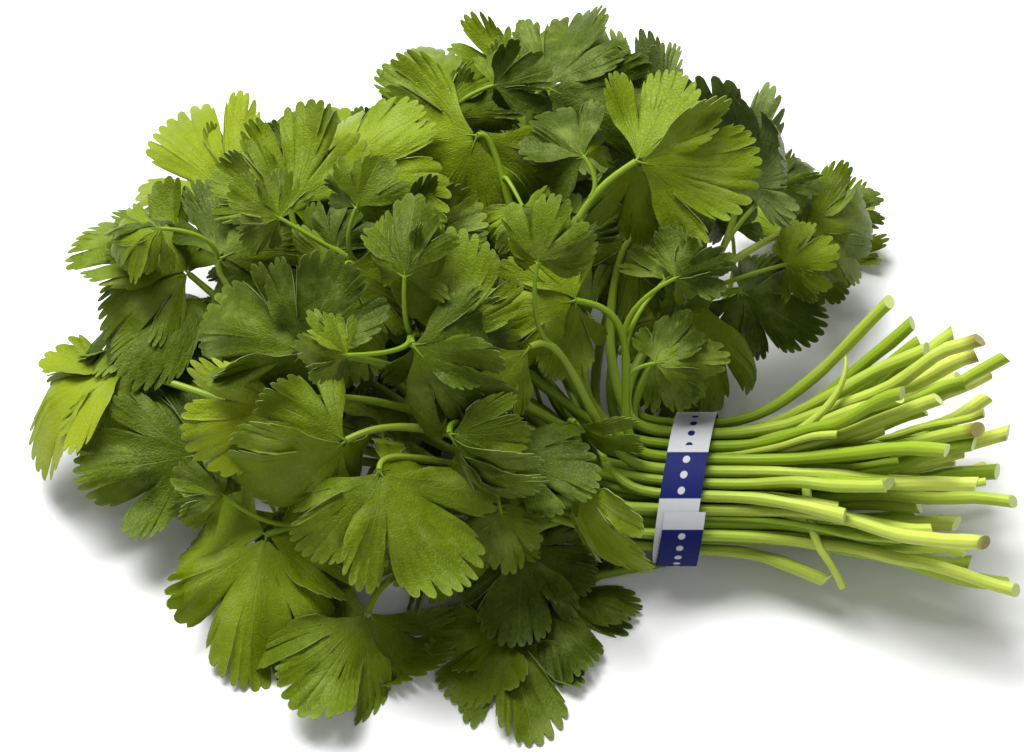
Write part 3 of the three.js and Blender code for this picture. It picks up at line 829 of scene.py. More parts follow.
def tube(bm, points, radii, sides, tone, cut=False):
    """A closed tube, whose first end may be a slanting cut."""
    rings = rings_along(points)
    steps = len(points) - 1
    slant = (points[0] - points[1]).normalized() * (radii[0] * CUT_SLANT if cut else 0)
    slant_turn = 997 * tone  # any large factor gives each stem its own slant

    def place(u, v):
        i = round(v * steps)
        point, side, across = rings[i]
        rim = (side * cos(360 * u) + across * sin(360 * u)) * radii[i]
        return point + rim + (slant * sin(360 * u + slant_turn) if i == 0 else Vector())

    verts, faces = mapped_grid(bm, sides, steps, place, tone)
    for face in faces:
        face.material_index = SKIN
    bmesh.ops.remove_doubles(bm, verts=verts, dist=SEAM)
    faces = [face for face in faces if face.is_valid]
    ends = list({edge for face in faces for edge in face.edges if edge.is_boundary})
    caps = bmesh.ops.holes_fill(bm, edges=ends, sides=sides)["faces"]
    for cap in caps:
        cap.material_index = SKIN
    if cut:
        first = min(caps, key=lambda face: (face.calc_center_median() - points[0]).length)
        first.material_index = CUT
    bmesh.ops.recalc_face_normals(bm, faces=faces + caps)


trial = new_bm()
tube(trial, [Vector((0, 0, height)) for height in range(5)], [1] * 5, 6, 0, cut=True)
print("a short trial tube has", len(trial.faces), "faces")
trial.free()

# %% [markdown]
# ## From a sheet to a leaf
# A leaf is a quarter of a millimetre thick. Blender's solidify keeps a sheet's thickness even, which sends
# spikes out of sharp slits, so the sheet is extruded and its copy moved along the normals instead. The
# blade's outer edge is a formula too: round teeth on three lobes, with a deep slit on each side of the
# middle one. The blade also gets what the frame's coarse one lacks: a frill at its edge, lobes that lift
# each by itself, and a fine crumple.


# %% Thickness
def thicken(bm, faces, thickness):
    """Gives a sheet of faces an underside and a rim, which get the underside's material."""
    added = bmesh.ops.extrude_face_region(bm, geom=faces, use_keep_orig=True)["geom"]
    moved = [part for part in added if isinstance(part, bmesh.types.BMVert)]
    bm.normal_update()
    shifts = [vert.normal * -thickness for vert in moved]
    for vert, shift in zip(moved, shifts):
        vert.co += shift
    rim = {face for vert in moved for face in vert.link_faces}
    for face in rim:
        face.material_index = UNDER
    bmesh.ops.recalc_face_normals(bm, faces=[*faces, *rim])


print("the underside and the rim are", LEAFY[UNDER].name)


# %% The toothed edge
SMALL_CUT = 0.13  # of the fan's reach


def edge_of(shape, teeth):
    """The fine edge from one side to the other, as a share of the plain fan's reach, and the lobe's end."""
    slit = round((shape.cut_angle / shape.half_angle + 1) * teeth / 2)
    slits = (slit, teeth - slit)
    small_cut = round(0.4 * (slit - teeth / 2))
    outer, middle = slits[1] // 2, teeth // 2
    small_cuts = (outer, middle - small_cut, middle + small_cut, teeth - outer)  # notches that go deeper
    draw = draws(shape.seed + 7000)
    depths = [0.05 + 0.06 * next(draw) for _ in range(teeth + 1)]
    lobe_end = 2 * slit / teeth - 1

    def edge(u):
        notch = round(u * teeth)
        to_notch = abs(u * teeth - notch)
        lobe = abs(2 * u - 1)
        in_lobe = lobe / lobe_end if lobe < lobe_end else (lobe - lobe_end) / (1 - lobe_end) * 2 - 1
        reach = 1.08 - 0.2 * abs(in_lobe) ** 2.5 - 0.18 * lobe**8  # three round lobes, with low outer corners
        depth = depths[notch] + (SMALL_CUT if notch in small_cuts else 0)
        reach -= depth * max(0, 1 - to_notch / 0.5) ** 3
        to_slit = min(abs(u * teeth - slit) for slit in slits)
        return reach - shape.cut * 0.85 * max(0, 1 - to_slit / 0.9) ** 1.4

    return edge, lobe_end


trial_edge, trial_end = edge_of(leaflet_shape(30, 1, True), 24)
print("reach at the tip and in a slit:", round(trial_edge(0.5), 2), round(trial_edge((1 + trial_end) / 2), 2))


# %% Blades
BLADE_THICK = 0.22
BASE_NARROWS = 0.22  # share of its angle that a blade loses at its base
LOBE_LIFT = 0.42  # of the length, from the lowest lobe to the highest
CRUMPLES = ((0.09, 2.6), (0.25, 0.9))  # scale and height in mm
TABLE_STEP = 0.3  # between leaflets that lie on the table one above the other
FINE_BLADE = {"teeth": 24, "rows": 7, "columns_each": 5}
SMALL_BLADE = {"teeth": 16, "rows": 4, "columns_each": 4}


def blade(bm, shape, base_frame, tone, teeth, rows, columns_each):
    """A leaflet as a fan-shaped sheet with a toothed edge, laid in its frame and given thickness."""
    edge, lobe_end = edge_of(shape, teeth)
    draw = draws(shape.seed + 8000)
    frill, frill_turn = 0.035 + 0.045 * next(draw), 360 * next(draw)
    pucker, pucker_turn = 0.01 * next(draw), 360 * next(draw)
    lobe_lifts = [LOBE_LIFT * (next(draw) - 0.5) for _ in range(3)]
    lowest = HALF_THICK + TABLE_STEP * (shape.seed % 5)

    def place(u, v):
        lobe = 2 * u - 1
        uneven = 0.03 * sin(900 * u + frill_turn) * math.sin(math.pi * u)  # so no two teeth are as wide
        angle = (lobe + uneven) * shape.half_angle * (1 - BASE_NARROWS * (1 - v) ** 2)
        share = (0.03 + 0.97 * v) * (1 + (edge(u) - 1) * v)
        point = leaflet_point(shape, base_frame, *polar(shape, angle, share))
        wavy = frill * v**3 * sin(8.5 * angle + frill_turn)
        wavy += pucker * math.sin(math.pi * v) * sin(6 * angle + pucker_turn)
        parted = max(0, share - 1 + shape.cut) / shape.cut
        wavy += lobe_lifts[0 if lobe < -lobe_end else 2 if lobe > lobe_end else 1] * parted**2
        crumple = sum(noise.noise(point * scale) * height for scale, height in CRUMPLES)
        point += base_frame.face * (wavy * shape.length + crumple * min(1, 2 * v))
        point.z = max(point.z, lowest)
        return point

    verts, faces = mapped_grid(bm, teeth * columns_each, rows, place, tone)
    bmesh.ops.recalc_face_normals(bm, faces=faces)
    bm.normal_update()
    if sum(face.normal.dot(base_frame.face) for face in faces) < 0:
        bmesh.ops.reverse_faces(bm, faces=faces)
    for face in faces:
        face.material_index = TOP
    thicken(bm, faces, BLADE_THICK)


print("quads across a large blade:", FINE_BLADE["teeth"] * FINE_BLADE["columns_each"])

# %% [markdown]
# ## Handing a piece over
# The bunch is built in millimetres, and a finished piece is scaled to metres at the end. Smooth shading
# hides the small faces, but it would also blur a cut end or the rim of a blade, so edges between steep
# faces stay sharp. Every piece rides on the part's one body, because a bunch has no joints.


# %% Finished pieces
SHARP = 50  # degrees between faces from which an edge looks sharp


def finished_piece(name, bm, materials):
    """The mesh in metres as an object that rides on the part's one body."""
    bmesh.ops.scale(bm, vec=(MM, MM, MM), verts=bm.verts)
    mesh = bpy.data.meshes.new(name)
    for face in bm.faces:
        face.smooth = True
    bm.to_mesh(mesh)
    bm.free()
    mesh.set_sharp_from_angle(angle=math.radians(SHARP))
    for material in materials:
        mesh.materials.append(material)
    piece = bpy.data.objects.new(name, mesh)
    bpy.context.collection.objects.link(piece)
    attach(piece, "root")
    return piece


print("an edge looks sharp from", SHARP, "degrees")

# %% [markdown]
# ## Room in the bunch
# Below its main leaf a coriander stem also branches to smaller side leaves, and they fill the bunch. Each
# side leaf grows from a stem, to where the bunch is still bare from the front, and touches nothing that
# grew before it. Testing mesh against mesh would be exact but slow. So two sets keep count instead: small
# cubes of space that are taken, and small squares of the front view that are covered.

# %% Cubes of space and squares of the front view
CUBE, SQUARE = 3.5, 5.0  # sides in mm
FAR_BACK = -999


def cube_at(point):
    return tuple(int(c // CUBE) for c in point)


def square_at(point):
    return int(point.x // SQUARE), int(point.dot(VIEW_UP) // SQUARE)


def leaflet_spots(shape, base_frame, columns, rows):
    """Points spread over a leaflet."""
    angles = [0.92 * (2 * i / (columns - 1) - 1) * shape.half_angle for i in range(columns)]
    shares = [(k + 1) / rows * 0.95 for k in range(rows)]
    places = [polar(shape, angle, share) for angle in angles for share in shares]
    return [leaflet_point(shape, base_frame, *place) for place in places]


def swollen(cells, reach):
    span = range(-reach, reach + 1)
    steps = [(i, j) for i in span for j in span if i * i + j * j <= reach**2]
    return {(x + i, y + j) for x, y in cells for i, j in steps}


def filled_outline(cells, reach):
    """The cells and all gaps between them that are narrower than twice the reach."""
    wide = swollen(cells, reach)
    rim = swollen(wide, 1) - wide
    return wide - swollen(rim, reach)


taken = set()
front_at = {}  # how far out to the viewer each covered square is


def claim(points):
    for point in points:
        taken.add(cube_at(point))
        square = square_at(point)
        front_at[square] = max(front_at.get(square, FAR_BACK), point.dot(VIEW_OUT))


for plant in plants:
    for shape, base_frame in plant.blades:
        claim(leaflet_spots(shape, base_frame, 11, 7))
outline = filled_outline(set(front_at), 4)
for plant in plants:
    taken.update(cube_at(point) for point in points_on(plant.side, 60))
print("front squares covered:", len(front_at), "of", len(outline))

# %% [markdown]
# ## Side leaves
# A side leaf sits on a thin stalk and has three small leaflets, more folded and drooped than large ones.
# Placing each by hand would take long. So it is drawn many times with other numbers, and the draw that
# covers most bare squares is kept. Every third one may lie in front of larger leaves, as some do in a real
# bunch, and the others stay behind them.


# %% Small leaves
SMALL = (15, 23)  # length of a small end leaflet
SMALL_SPREAD, SMALL_PITCH = 68, -14  # of a side leaflet
SMALL_SIDE = 0.84  # its length against the end one
SMALL_STALK = 1.5
MORE_FOLD, MORE_DROOP = 1.7, 1.5  # than in a large leaf
BARE_ACROSS, BARE_UP = (-40, 5), (-22, 12)  # where stems show in the front view
LOWEST_SPOT = 1.5  # of a small leaf over the table
OUTSIDE = 0.04  # share of a small leaf that may stick out of the bunch
FRONT_GAIN, BACK_LOSS = 0.5, -0.45  # for each square of other leaves that the leaf hides
OWN_GAIN = 0.05  # for each square of its own
HIDES_FROM = 2.0  # how far out before another leaf it has to lie to hide it
NO_GAIN = -99
SIDE_REACH = (10, 26)  # length of a side leaf's stalk


def small_leaf(fork, along, face, size, seed):
    """Three leaflets round a fork, as (shape, frame)."""
    flat = frame_of(fork, along, face)
    made = []
    for part, angle in enumerate((0, SMALL_SPREAD, -SMALL_SPREAD)):
        outwards = flat.along * cos(angle) + flat.across * sin(angle)
        base_frame = turned(frame_of(fork, outwards, flat.face), SMALL_PITCH if angle else 0, angle / 5)
        base_frame.base = fork + base_frame.along * SMALL_STALK
        shape = leaflet_shape(size * (SMALL_SIDE if angle else 1), seed * 10 + part, part == 0)
        shape.fold *= MORE_FOLD
        shape.droop *= MORE_DROOP
        made.append((shape, base_frame))
    return made


def over_bare_stems(point):
    """Whether the point hides the stems that show on their way from the tie into the leaves."""
    up = (point - Vector((0, 0, TIE_CENTRE))).dot(VIEW_UP)
    return BARE_ACROSS[0] < point.x < BARE_ACROSS[1] and BARE_UP[0] < up < BARE_UP[1] - point.x


def free_spots(leaflets, stalk):
    """The leaf's points, or none if it would touch something, stick out of the bunch or meet the table."""
    spots = [spot for shape, base_frame in leaflets for spot in leaflet_spots(shape, base_frame, 6, 4)]
    if any(over_bare_stems(spot) for spot in spots):
        return []
    blocked = any(cube_at(spot) in taken for spot in spots + stalk)
    low = min(spot.z for spot in spots) < LOWEST_SPOT
    outside = sum(square_at(spot) not in outline for spot in spots)
    return [] if blocked or low or outside > len(spots) * OUTSIDE else spots


def gain(spots, in_front):
    """How many bare squares the leaf covers, less those it hides unless it is meant to lie in front."""
    if not spots:
        return NO_GAIN
    squares = {square_at(spot): spot.dot(VIEW_OUT) for spot in spots}
    bare = sum(square not in front_at for square in squares)
    hides = sum(out > front_at.get(square, -FAR_BACK) + HIDES_FROM for square, out in squares.items())
    return bare + (FRONT_GAIN if in_front else BACK_LOSS) * hides + OWN_GAIN * len(squares)


print("small leaves are", SMALL, "mm long")


# %% Draws of a small leaf
def small_heading(draw):
    along = direction_seen(360 * next(draw), 50 * next(draw) - 28)
    face = (VIEW_OUT + Vector((next(draw) - 0.5, next(draw) - 0.5, next(draw) - 0.3))).normalized()
    return along, face


def leafed(leaflets, stalk, in_front, **rest):
    """A draw of a small leaf, with the points that it needs and what it gains."""
    spots = free_spots(leaflets, stalk)
    return SimpleNamespace(leaflets=leaflets, spots=spots, gain=gain(spots, in_front), **rest)


def side_leaf(seed, in_front):
    """One draw of a leaf on a side stalk of some stem."""
    draw = draws(seed)
    plant = plants[int(next(draw) * len(plants))]
    t = 0.4 + 0.56 * next(draw)
    start = bezier(plant.side, t)
    onward = (bezier(plant.side, t + 0.03) - start).normalized()
    along, face = small_heading(draw)
    reach = between(SIDE_REACH, next(draw))
    fork = start + (onward * 0.5 + along * 0.8) * reach
    route = (start, start + onward * (reach * 0.4), fork - along * (reach * 0.3), fork)
    leaflets = small_leaf(fork, along, face, between(SMALL, next(draw)), seed)
    return leafed(leaflets, points_on(route, 8)[3:], in_front, plant=plant, route=route)


def spare_stem(slot, fan, seed):
    """One draw of a stem from a free place in the tie to a small leaf."""
    draw = draws(seed)
    height, up = between(SPARE_HEIGHT, next(draw)), between(SPARE_UP, next(draw))
    fork = point_seen(between(SPARE_ACROSS, next(draw)), up, height)
    along, face = small_heading(draw)
    arrival = (along + Vector((-0.6, 0, 0.2))).normalized()
    leaf = SimpleNamespace(fork=fork, arrival=arrival, reach=SPARE_REACH)
    route = leaf_curve(slot, leaf, (0, 0, 1))
    leaflets = small_leaf(route[3], along, face, between(SMALL, next(draw)), seed)
    return leafed(leaflets, [], False, slot=slot, fan=fan, side=route)


first_draw = side_leaf(20000, False)
print("a first draw has", len(first_draw.leaflets), "leaflets on stem", first_draw.plant.leaf.number)

# %% Side leaves
SIDE_LEAVES, TRIES = 100, 80


def keep(best, stalk):
    claim(best.spots)
    taken.update(cube_at(point) for point in stalk)
    return best


for i in range(SIDE_LEAVES):
    tries = (side_leaf(20000 + 100 * i + k, i % 3 == 2) for k in range(TRIES))
    best = max(tries, key=lambda one: one.gain)
    if best.gain > 0:
        best.plant.side_leaves.append(keep(best, points_on(best.route, 12)))
print("side leaves:", sum(len(plant.side_leaves) for plant in plants))
print("front squares covered:", len(set(front_at) & outline), "of", len(outline))

# %% [markdown]
# ## Spare stems and thin stalks
# The tie is packed full: more stems run through it than carry a large leaf, and thin stalks fill the gaps
# between them. Without them light would fall through the bundle. Each takes a free place in the tie, gives
# way to all the stems before it where it fans out, and ends in a small leaf deep in the bunch. Its way
# there runs hidden among the leaves, so it isn't tested.

# %% Free places in the tie
SPARE_SHARE = (0.45, 1.0)  # where a spare stem is cut, as a share of the others' length
SPARE_REACH = 16  # of its last bend before the leaf
SPARE_HEIGHT, SPARE_UP, SPARE_ACROSS = (8, 58), (-10, 90), (-28, -118)  # where their leaves sit
SPARE_ROOM = 1.6  # between a spare stem and the middle of its neighbour, besides its own radius
THIN_RADIUS = 0.75  # of a thin stalk, which fits between three stems
THIN_STALKS = 26  # tried
GAP_LIMIT = 0.95  # of the way from the tie's middle to its outermost slots
WORST_GAIN = -50
fan_points = [point for plant in plants for point in points_on(plant.fan, 24)]


def gaps_between(slots):
    """Where three neighbouring slots leave room for a thin stalk, the foremost first."""
    gaps = []
    for slot in slots:
        y, z = slot.y, slot.z + SLOT_PITCH / math.sqrt(3)
        if math.hypot(y / SLOTS_WIDE, z / SLOTS_HIGH) < GAP_LIMIT:
            radii = {"tie": THIN_RADIUS, "cut": THIN_RADIUS * 1.7}
            gaps.append(SimpleNamespace(number=100 + slot.number, y=y, z=z, **radii))
    return sorted(gaps, key=lambda gap: gap.y - gap.z)


def clear_fan(slot):
    """The fan side of a spare stem, past all fan sides laid before it, or none."""
    share = between(SPARE_SHARE, next(draws(slot.number + 4000)))
    room = slot.cut + SPARE_ROOM
    tree = KDTree(len(fan_points))
    for i, point in enumerate(fan_points):
        tree.insert(point, i)
    tree.balance()
    for bend in STEM_BENDS:
        start, *others = fan_curve(slot, bend)
        curve = (start, *(corner.lerp(start, 1 - share) for corner in others))
        if all(tree.find(point)[2] > room for point in points_on(curve, 10)[4:]):
            fan_points.extend(points_on(curve, 24))
            return curve
    return None


used = {plant.slot.number for plant in plants}
free_slots = [slot for slot in slots if slot.number not in used]
spares = []
for slot in free_slots + gaps_between(slots)[:THIN_STALKS]:
    fan = clear_fan(slot)
    if fan:
        tries = (spare_stem(slot, fan, 40000 + 100 * slot.number + k) for k in range(TRIES))
        best = max(tries, key=lambda one: one.gain)
        if best.gain > WORST_GAIN:
            spares.append(keep(best, []))
print("spare stems and thin stalks:", len(spares))

# %% [markdown]
# ## Torn side stalks
# Two thin side stalks were torn off near the cut ends: one hangs down over the front of the bundle, and
# one stands up behind it. They break the even sweep of the stems. Each starts on the foremost stem at its
# place, and its tip passes in front of what lies there, so that it cuts through nothing.

# %% Torn stalks
TORN_STALKS = [  # start and end in the front view (across, up), how far the way bows, two radii
    ((31, 4), (42, -27), ((-1, -14), (-3, 5)), (1.5, 1.1)),
    ((27, 14), (43, 38), ((9, 1), (6, 3)), (1.7, 0.5)),
]
TORN_SEARCH = 6.0  # how far from its place a stem may lie
TORN_CLEAR = 2.6  # how far in front of the stems' middles the tip passes
TORN_BULGE = 3


def foremost(across, up):
    """The plant whose cut side lies furthest out near a place in the front view, with that point."""
    best = None
    for plant in plants:
        for point in points_on(plant.fan, 59):
            point_up = (point - Vector((0, 0, TIE_CENTRE))).dot(VIEW_UP)
            near = math.hypot(point.x - across, point_up - up) < TORN_SEARCH
            if near and (best is None or point.dot(VIEW_OUT) > best[1].dot(VIEW_OUT)):
                best = (plant, point)
    return best


for (across, up), (end_across, end_up), bows, radii in TORN_STALKS:
    plant, start = foremost(across, up)
    below = foremost(end_across, end_up)
    start_out = start.dot(VIEW_OUT)
    out = max(below[1].dot(VIEW_OUT) if below else FAR_BACK, start_out) + TORN_CLEAR - start_out
    end = start + Vector((end_across - across, 0, 0)) + VIEW_UP * (end_up - up) + VIEW_OUT * out
    bent = [
        start.lerp(end, share) + Vector((x, 0, 0)) + VIEW_UP * y + VIEW_OUT * TORN_BULGE
        for share, (x, y) in zip((1 / 3, 2 / 3), bows)
    ]
    plant.torn.append(((start, *bent, end), radii))
print("torn stalks on stems", [plant.leaf.number for plant in plants if plant.torn])

# %% [markdown]
# ## The leafy stems
# Each stem is one fine tube from its cut end through the tie to the end leaflet, rounded where the frame's
# solid has corners. Its leaflets sit close round the fork on short stalks, which run out in the blade as
# its middle vein. Side leaves and torn stalks could be objects of their own, but they grow on the stem, so
# they go into the same mesh.


# %% Leafy stems
CLOSER = 0.85  # share of a frame leaflet's stalk that its blade runs down
WANDER, WANDER_SCALE = 3.2, 0.045  # how far a stem strays near its cut end, and how often
SWELLING, SWELLING_SCALE = 0.13, 0.12  # share by which its radius varies, and how often
FAN_STEPS, SIDE_STEPS, STALK_STEPS, TORN_STEPS = 18, 34, 10, 14  # to the cut, to the leaf, along stalks
STEM_SIDES, TORN_SIDES, STALK_SIDES, RIB_SIDES = 12, 10, 8, 6
SMOOTHINGS, SMOOTH_FROM = 6, 14  # how often a stem is smoothed, and from which point
LEAFLET_STALK = (0.6, 0.5)  # radius for a large leaf and for a small one
SIDE_STALK = (0.9, 0.6)  # radii of a side leaf's stalk
RIB_PLACES = (0.03, 0.07, 0.12)  # shares of the blade
RIB_TAPER = (1, 0.85, 0.7, 0.5, 0.35)  # from the fork
RIB_TIP = 0.1
TONE_SPREAD = 0.3  # among one leaf's leaflets
SIDE_TONE_WITH_SHADE = (0.85, 1.7)  # the highest tone of a side leaflet, and a power that keeps most of them dark, as painted shade deep in the bunch


def evenly(span, steps):
    return [between(span, k / steps) for k in range(steps + 1)]


def smoothed(points, passes, first):
    """Points drawn towards their neighbours, from the one numbered first."""
    for _ in range(passes):
        points = [
            p if i < first or i == len(points) - 1 else (points[i - 1] + p * 2 + points[i + 1]) / 4
            for i, p in enumerate(points)
        ]
    return points


def wander(place):
    """A smooth random vector, which is the same in each run."""
    return Vector([noise.noise(place + Vector(shift)) for shift in ((0, 0, 0), (31, 17, 5), (7, 43, 29))])


def stem_path(one, tip_radius):
    """Points and radii from the cut end to the fork, with the small bends of a grown stem."""
    slot = one.slot
    shares = [1 - i / FAN_STEPS for i in range(FAN_STEPS + 1)]
    points = [bezier(one.fan, share) for share in shares] + points_on(one.side, SIDE_STEPS)[1:]
    radii = evenly((slot.cut, slot.tie), FAN_STEPS) + evenly((slot.tie, tip_radius), SIDE_STEPS)[1:]
    own = Vector((9 * slot.number, 0, 0))
    for i, share in enumerate(shares):
        points[i] = points[i] + wander(points[i] * WANDER_SCALE + own) * (WANDER * share)
    swelling = [1 + SWELLING * noise.noise(point * SWELLING_SCALE + own) for point in points]
    points = smoothed(points, SMOOTHINGS, SMOOTH_FROM)
    return points, [radius * more for radius, more in zip(radii, swelling)]


def leaflet_on(bm, fork, shape, base_frame, tone, radius, fineness=FINE_BLADE):
    """A leaflet whose blade runs down its stalk towards the fork, with the rest of that stalk."""
    nearer = fork - base_frame.base
    longer = SimpleNamespace(**vars(shape))
    longer.length = shape.length + nearer.length * CLOSER
    moved = frame_of(base_frame.base + nearer * CLOSER, base_frame.along, base_frame.face)
    rib = [leaflet_point(longer, moved, 0, longer.length * share) for share in RIB_PLACES]
    stalk = [fork, fork.lerp(moved.base, 0.5), moved.base, *rib]
    radii = [radius * share for share in RIB_TAPER] + [RIB_TIP]
    tube(bm, stalk, radii, RIB_SIDES, 0.1)
    blade(bm, longer, moved, tone, **fineness)


def leafy_stem(plant):
    bm = new_bm()
    draw = draws(plant.leaf.number + 3000)
    leaf_tone = next(draw)
    tube(bm, *stem_path(plant, FORK_RADIUS), STEM_SIDES, next(draw), cut=True)
    for leaflet in plant.blades:
        tone = min(max(leaf_tone + TONE_SPREAD * (next(draw) - 0.5), 0), 1)
        leaflet_on(bm, plant.leaf.fork, *leaflet, tone, LEAFLET_STALK[0])
    for route, radii in plant.torn:
        tube(bm, points_on(route, TORN_STEPS), evenly(radii, TORN_STEPS), TORN_SIDES, 0.8)
    for side in plant.side_leaves:
        stalk = points_on(side.route, STALK_STEPS)
        tube(bm, stalk, evenly(SIDE_STALK, STALK_STEPS), STALK_SIDES, 0.3)
        for leaflet in side.leaflets:
            # mostly low, dark tones: painted shade on the side leaves inside the bunch
            tone = SIDE_TONE_WITH_SHADE[0] * next(draw) ** SIDE_TONE_WITH_SHADE[1]
            leaflet_on(bm, stalk[-1], *leaflet, tone, LEAFLET_STALK[1], SMALL_BLADE)
    name = f"leafy_stem_{plant.leaf.number:02d}"
    piece = finished_piece(f"{name}_grown", bm, LEAFY)
    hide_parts(name)
    return len(piece.data.polygons)


faces_made = sum(leafy_stem(plant) for plant in plants)
print("leafy stems:", len(plants), "with", faces_made, "faces")

# %% [markdown]
# ## The spare stems
# They are the same plant with less on it: one tube with a slanting cut, and three small leaflets. A tube
# that simply ends would save work, but its end could show between the leaves.

# %% Spare stems
SPARE_TIP = 0.65  # radius where a spare stem meets its leaf


def grow_spare(spare):
    bm = new_bm()
    draw = draws(spare.slot.number + 5000)
    points, radii = stem_path(spare, SPARE_TIP)
    tube(bm, points, radii, STEM_SIDES, next(draw), cut=True)
    for leaflet in spare.leaflets:
        # tones of at most 0.5 paint the shade deep in the bunch, where these small leaves sit
        leaflet_on(bm, points[-1], *leaflet, 0.5 * next(draw), LEAFLET_STALK[1], SMALL_BLADE)
    piece = finished_piece(f"spare_stem_{spare.slot.number:03d}", bm, LEAFY)
    return len(piece.data.polygons)


faces_made = sum(grow_spare(spare) for spare in spares)
print("spare stems:", len(spares), "with", faces_made, "faces")

# %% [markdown]
# ## The broken sprig
# One side shoot has snapped off and lies on the table in front, with five leaflets that spread close to
# the table. A Bezier curve could carry it, but its stalk's bends are given one by one, so its way goes
# smoothly through a few set corners.

# %% Broken sprig
SPRIG_WAY = [(-7, -17, 2.6), (-24, -21, 2.4), (-42, -26, 2.1), (-51, -34, 1.7), (-56, -46, 1.5)]
SPRIG_RADIUS = (1.6, 0.8)
SPRIG_STALK = 3.0  # of each leaflet
SPRIG_DROOP = 14
SPRIG_STEPS = 40
SPRIG_LEAFLETS = [  # share of the way, heading, rise, roll, length
    (0.6, 299, 12, -10, 29), (0.52, 343, 10, 14, 25), (0.97, 286, 10, 6, 32), (0.94, 236, 8, -12, 24),
    (0.92, 180, 12, 10, 22),
]


def catmull_rom(corners, t):
    """The centripetal curve through the corners."""
    place = t * (len(corners) - 1)
    i = min(int(place), len(corners) - 2)
    p1, p2 = corners[i], corners[i + 1]
    p0 = corners[i - 1] if i else p1 * 2 - p2
    p3 = corners[i + 2] if i + 2 < len(corners) else p2 * 2 - p1
    d01, d12, d23 = ((a - b).length ** 0.5 for a, b in ((p0, p1), (p1, p2), (p2, p3)))
    m1 = ((p1 - p0) / d01 - (p2 - p0) / (d01 + d12) + (p2 - p1) / d12) * d12
    m2 = ((p2 - p1) / d12 - (p3 - p1) / (d12 + d23) + (p3 - p2) / d23) * d12
    s = place - i
    a = p1 * 2 - p2 * 2 + m1 + m2
    b = p2 * 3 - p1 * 3 - m1 * 2 - m2
    return ((a * s + b) * s + m1) * s + p1


def broken_sprig():
    bm = new_bm()
    corners = [Vector(corner) for corner in SPRIG_WAY]
    points = [catmull_rom(corners, i / SPRIG_STEPS) for i in range(SPRIG_STEPS + 1)]
    tube(bm, points, evenly(SPRIG_RADIUS, SPRIG_STEPS), STEM_SIDES, 0.3, cut=True)
    for i, (share, heading, rise, roll, length) in enumerate(SPRIG_LEAFLETS):
        at = catmull_rom(corners, share)
        flat = frame_of(at, Vector((cos(heading), sin(heading), 0)), Vector((0, 0, 1)))
        base_frame = turned(flat, rise, roll)
        base_frame.base = at + base_frame.along * SPRIG_STALK
        shape = leaflet_shape(length, 900 + i, True, SPRIG_DROOP)
        leaflet_on(bm, at, shape, base_frame, 0.12 + 0.1 * i, LEAFLET_STALK[0])
    piece = finished_piece("broken_sprig_grown", bm, LEAFY)
    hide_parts("broken_sprig")
    print("broken sprig:", len(piece.data.polygons), "faces")


broken_sprig()

# %% [markdown]
# ## The tie
# One coated paper strip goes round the stems once and laps over its own start. A bent ring of quads could
# stand for it, but the lap needs a strip with two ends, so a flat grid is wound round an oval and rises
# over its start. It is printed in blue and white blocks, with a row of plain dots that are white on the
# blue blocks and blue on the white ones. The print follows the strip's own map.

# %% Tie strip
TIE_START, TIE_END = -106.0, 406.0  # degrees round the stems
STRIP_THICK = 0.45
LAP_FROM, LAP_TO = 190, 255  # where the strip rises over its start
SHIFT_FROM, SHIFT_TO, LAP_SHIFT = 290, 400, 2.2  # where the lapped end moves aside, and how far
STRIP_GRID = (256, 6)
BLUE_BLOCKS = ((-80, -20), (56, 92), (165, 235), (318, 392))  # degrees round the strip
DOTTED_WHITE = ((98, 136), (255, 300))
DOT_STEP = 6.0  # half the degrees from one dot to the next
MM_PER_DEGREE = 0.38
DOT_EDGE = (0.9, 1.5)  # where a dot ends, as the square of its radius
INK = ((0.003, 0.006, 0.078, 1), (0.008, 0.012, 0.10, 1))
WHITE = ((0.39, 0.40, 0.41, 1), (0.32, 0.335, 0.35, 1))


def smoothstep(value, low, high):
    share = min(max((value - low) / (high - low), 0), 1)
    return share * share * (3 - 2 * share)


def strip_point(u, v):
    turn = between((TIE_START, TIE_END), u)
    raised = smoothstep(turn, LAP_FROM, LAP_TO) * (TIE["thickness"] + TIE["gap"]) + TIE["thickness"]
    y = -(TIE["half_width"] + raised) * cos(turn)
    z = TIE_CENTRE + (TIE["half_height"] + raised) * sin(turn)
    x = TIE["width"] * (v - 0.5) + TIE["skew"] * y + LAP_SHIFT * smoothstep(turn, SHIFT_FROM, SHIFT_TO)
    return Vector((x, y, max(z, 0)))


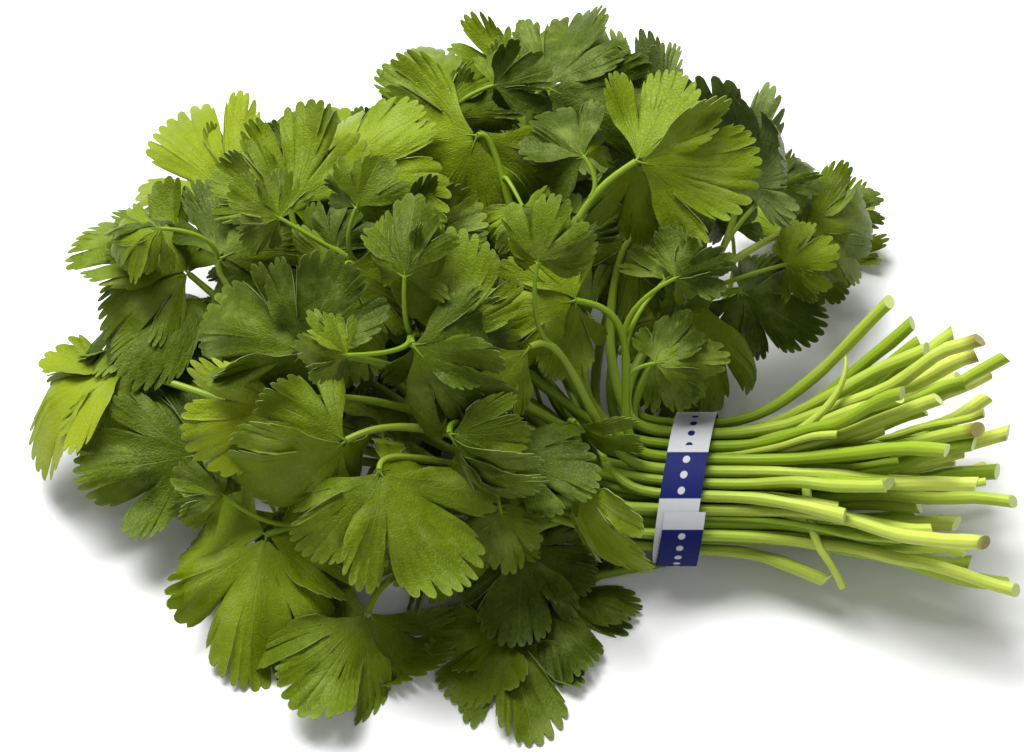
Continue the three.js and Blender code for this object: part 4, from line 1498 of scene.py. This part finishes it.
def tie_paint():
    paint = Paint("printed_strip")
    along, across = paint.uv()
    turn = TIE_START + along * (TIE_END - TIE_START)
    aside = (across - 0.5) * TIE["width"]
    grain = paint.noise(paint.place(), 900.0, 3.0)
    block = sum(turn.band(*span) for span in BLUE_BLOCKS)
    dotted = sum(turn.band(*span) for span in DOTTED_WHITE)
    to_dot = (turn - 2).folded(DOT_STEP) * MM_PER_DEGREE
    dots = 1 - (to_dot**2 + aside**2).ramp(*DOT_EDGE)
    ink_share = block * (1 - dots) + dots * dotted
    ink, white = paint.mix(grain * 0.3, *INK), paint.mix(grain * 0.5, *WHITE)
    colour = paint.mix(ink_share, white, ink)
    gloss = 0.55 + (grain - 0.5) * 0.2
    surface = {"Base Color": colour, "Roughness": gloss, "Normal": paint.bump(grain, 0.0001, 0.35)}
    return paint.finish(paint.principled({**surface, "Specular IOR Level": 0.1}))


def tie_strip():
    bm = new_bm()
    faces = mapped_grid(bm, *STRIP_GRID, strip_point, 0)[1]
    bmesh.ops.recalc_face_normals(bm, faces=faces)
    bm.normal_update()
    low = min(faces, key=lambda face: face.calc_center_median().z)
    if low.normal.z > 0:
        bmesh.ops.reverse_faces(bm, faces=faces)
    thicken(bm, faces, STRIP_THICK)
    for face in bm.faces:
        face.material_index = 0
    piece = finished_piece("printed_tie", bm, [tie_paint()])
    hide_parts("tie_band")
    print("tie:", len(piece.data.polygons), "faces")


tie_strip()

# %% [markdown]
# ## The table
# A plain pale floor catches soft shadows and throws light back up at the undersides. A plain background
# would do for the colour, but then the bunch would seem to float. The floor belongs to the studio and
# isn't part of the bunch, so it is left off the bunch's body.

# %% Floor
FLOOR_HALF = 3.0  # metres


def floor():
    bm = bmesh.new()
    bmesh.ops.create_grid(bm, x_segments=1, y_segments=1, size=FLOOR_HALF)
    mesh = bpy.data.meshes.new("floor")
    bm.to_mesh(mesh)
    bm.free()
    sheet = bpy.data.objects.new("floor", mesh)
    bpy.context.collection.objects.link(sheet)
    paint = Paint("floor_white")
    haze = paint.noise(paint.place(), 3.0)
    shade = paint.mix(haze, (0.80, 0.80, 0.80, 1), (0.84, 0.84, 0.84, 1))
    mesh.materials.append(paint.finish(paint.principled({"Base Color": shade, "Roughness": 0.8})))
    print("stage:", sheet.name)


floor()
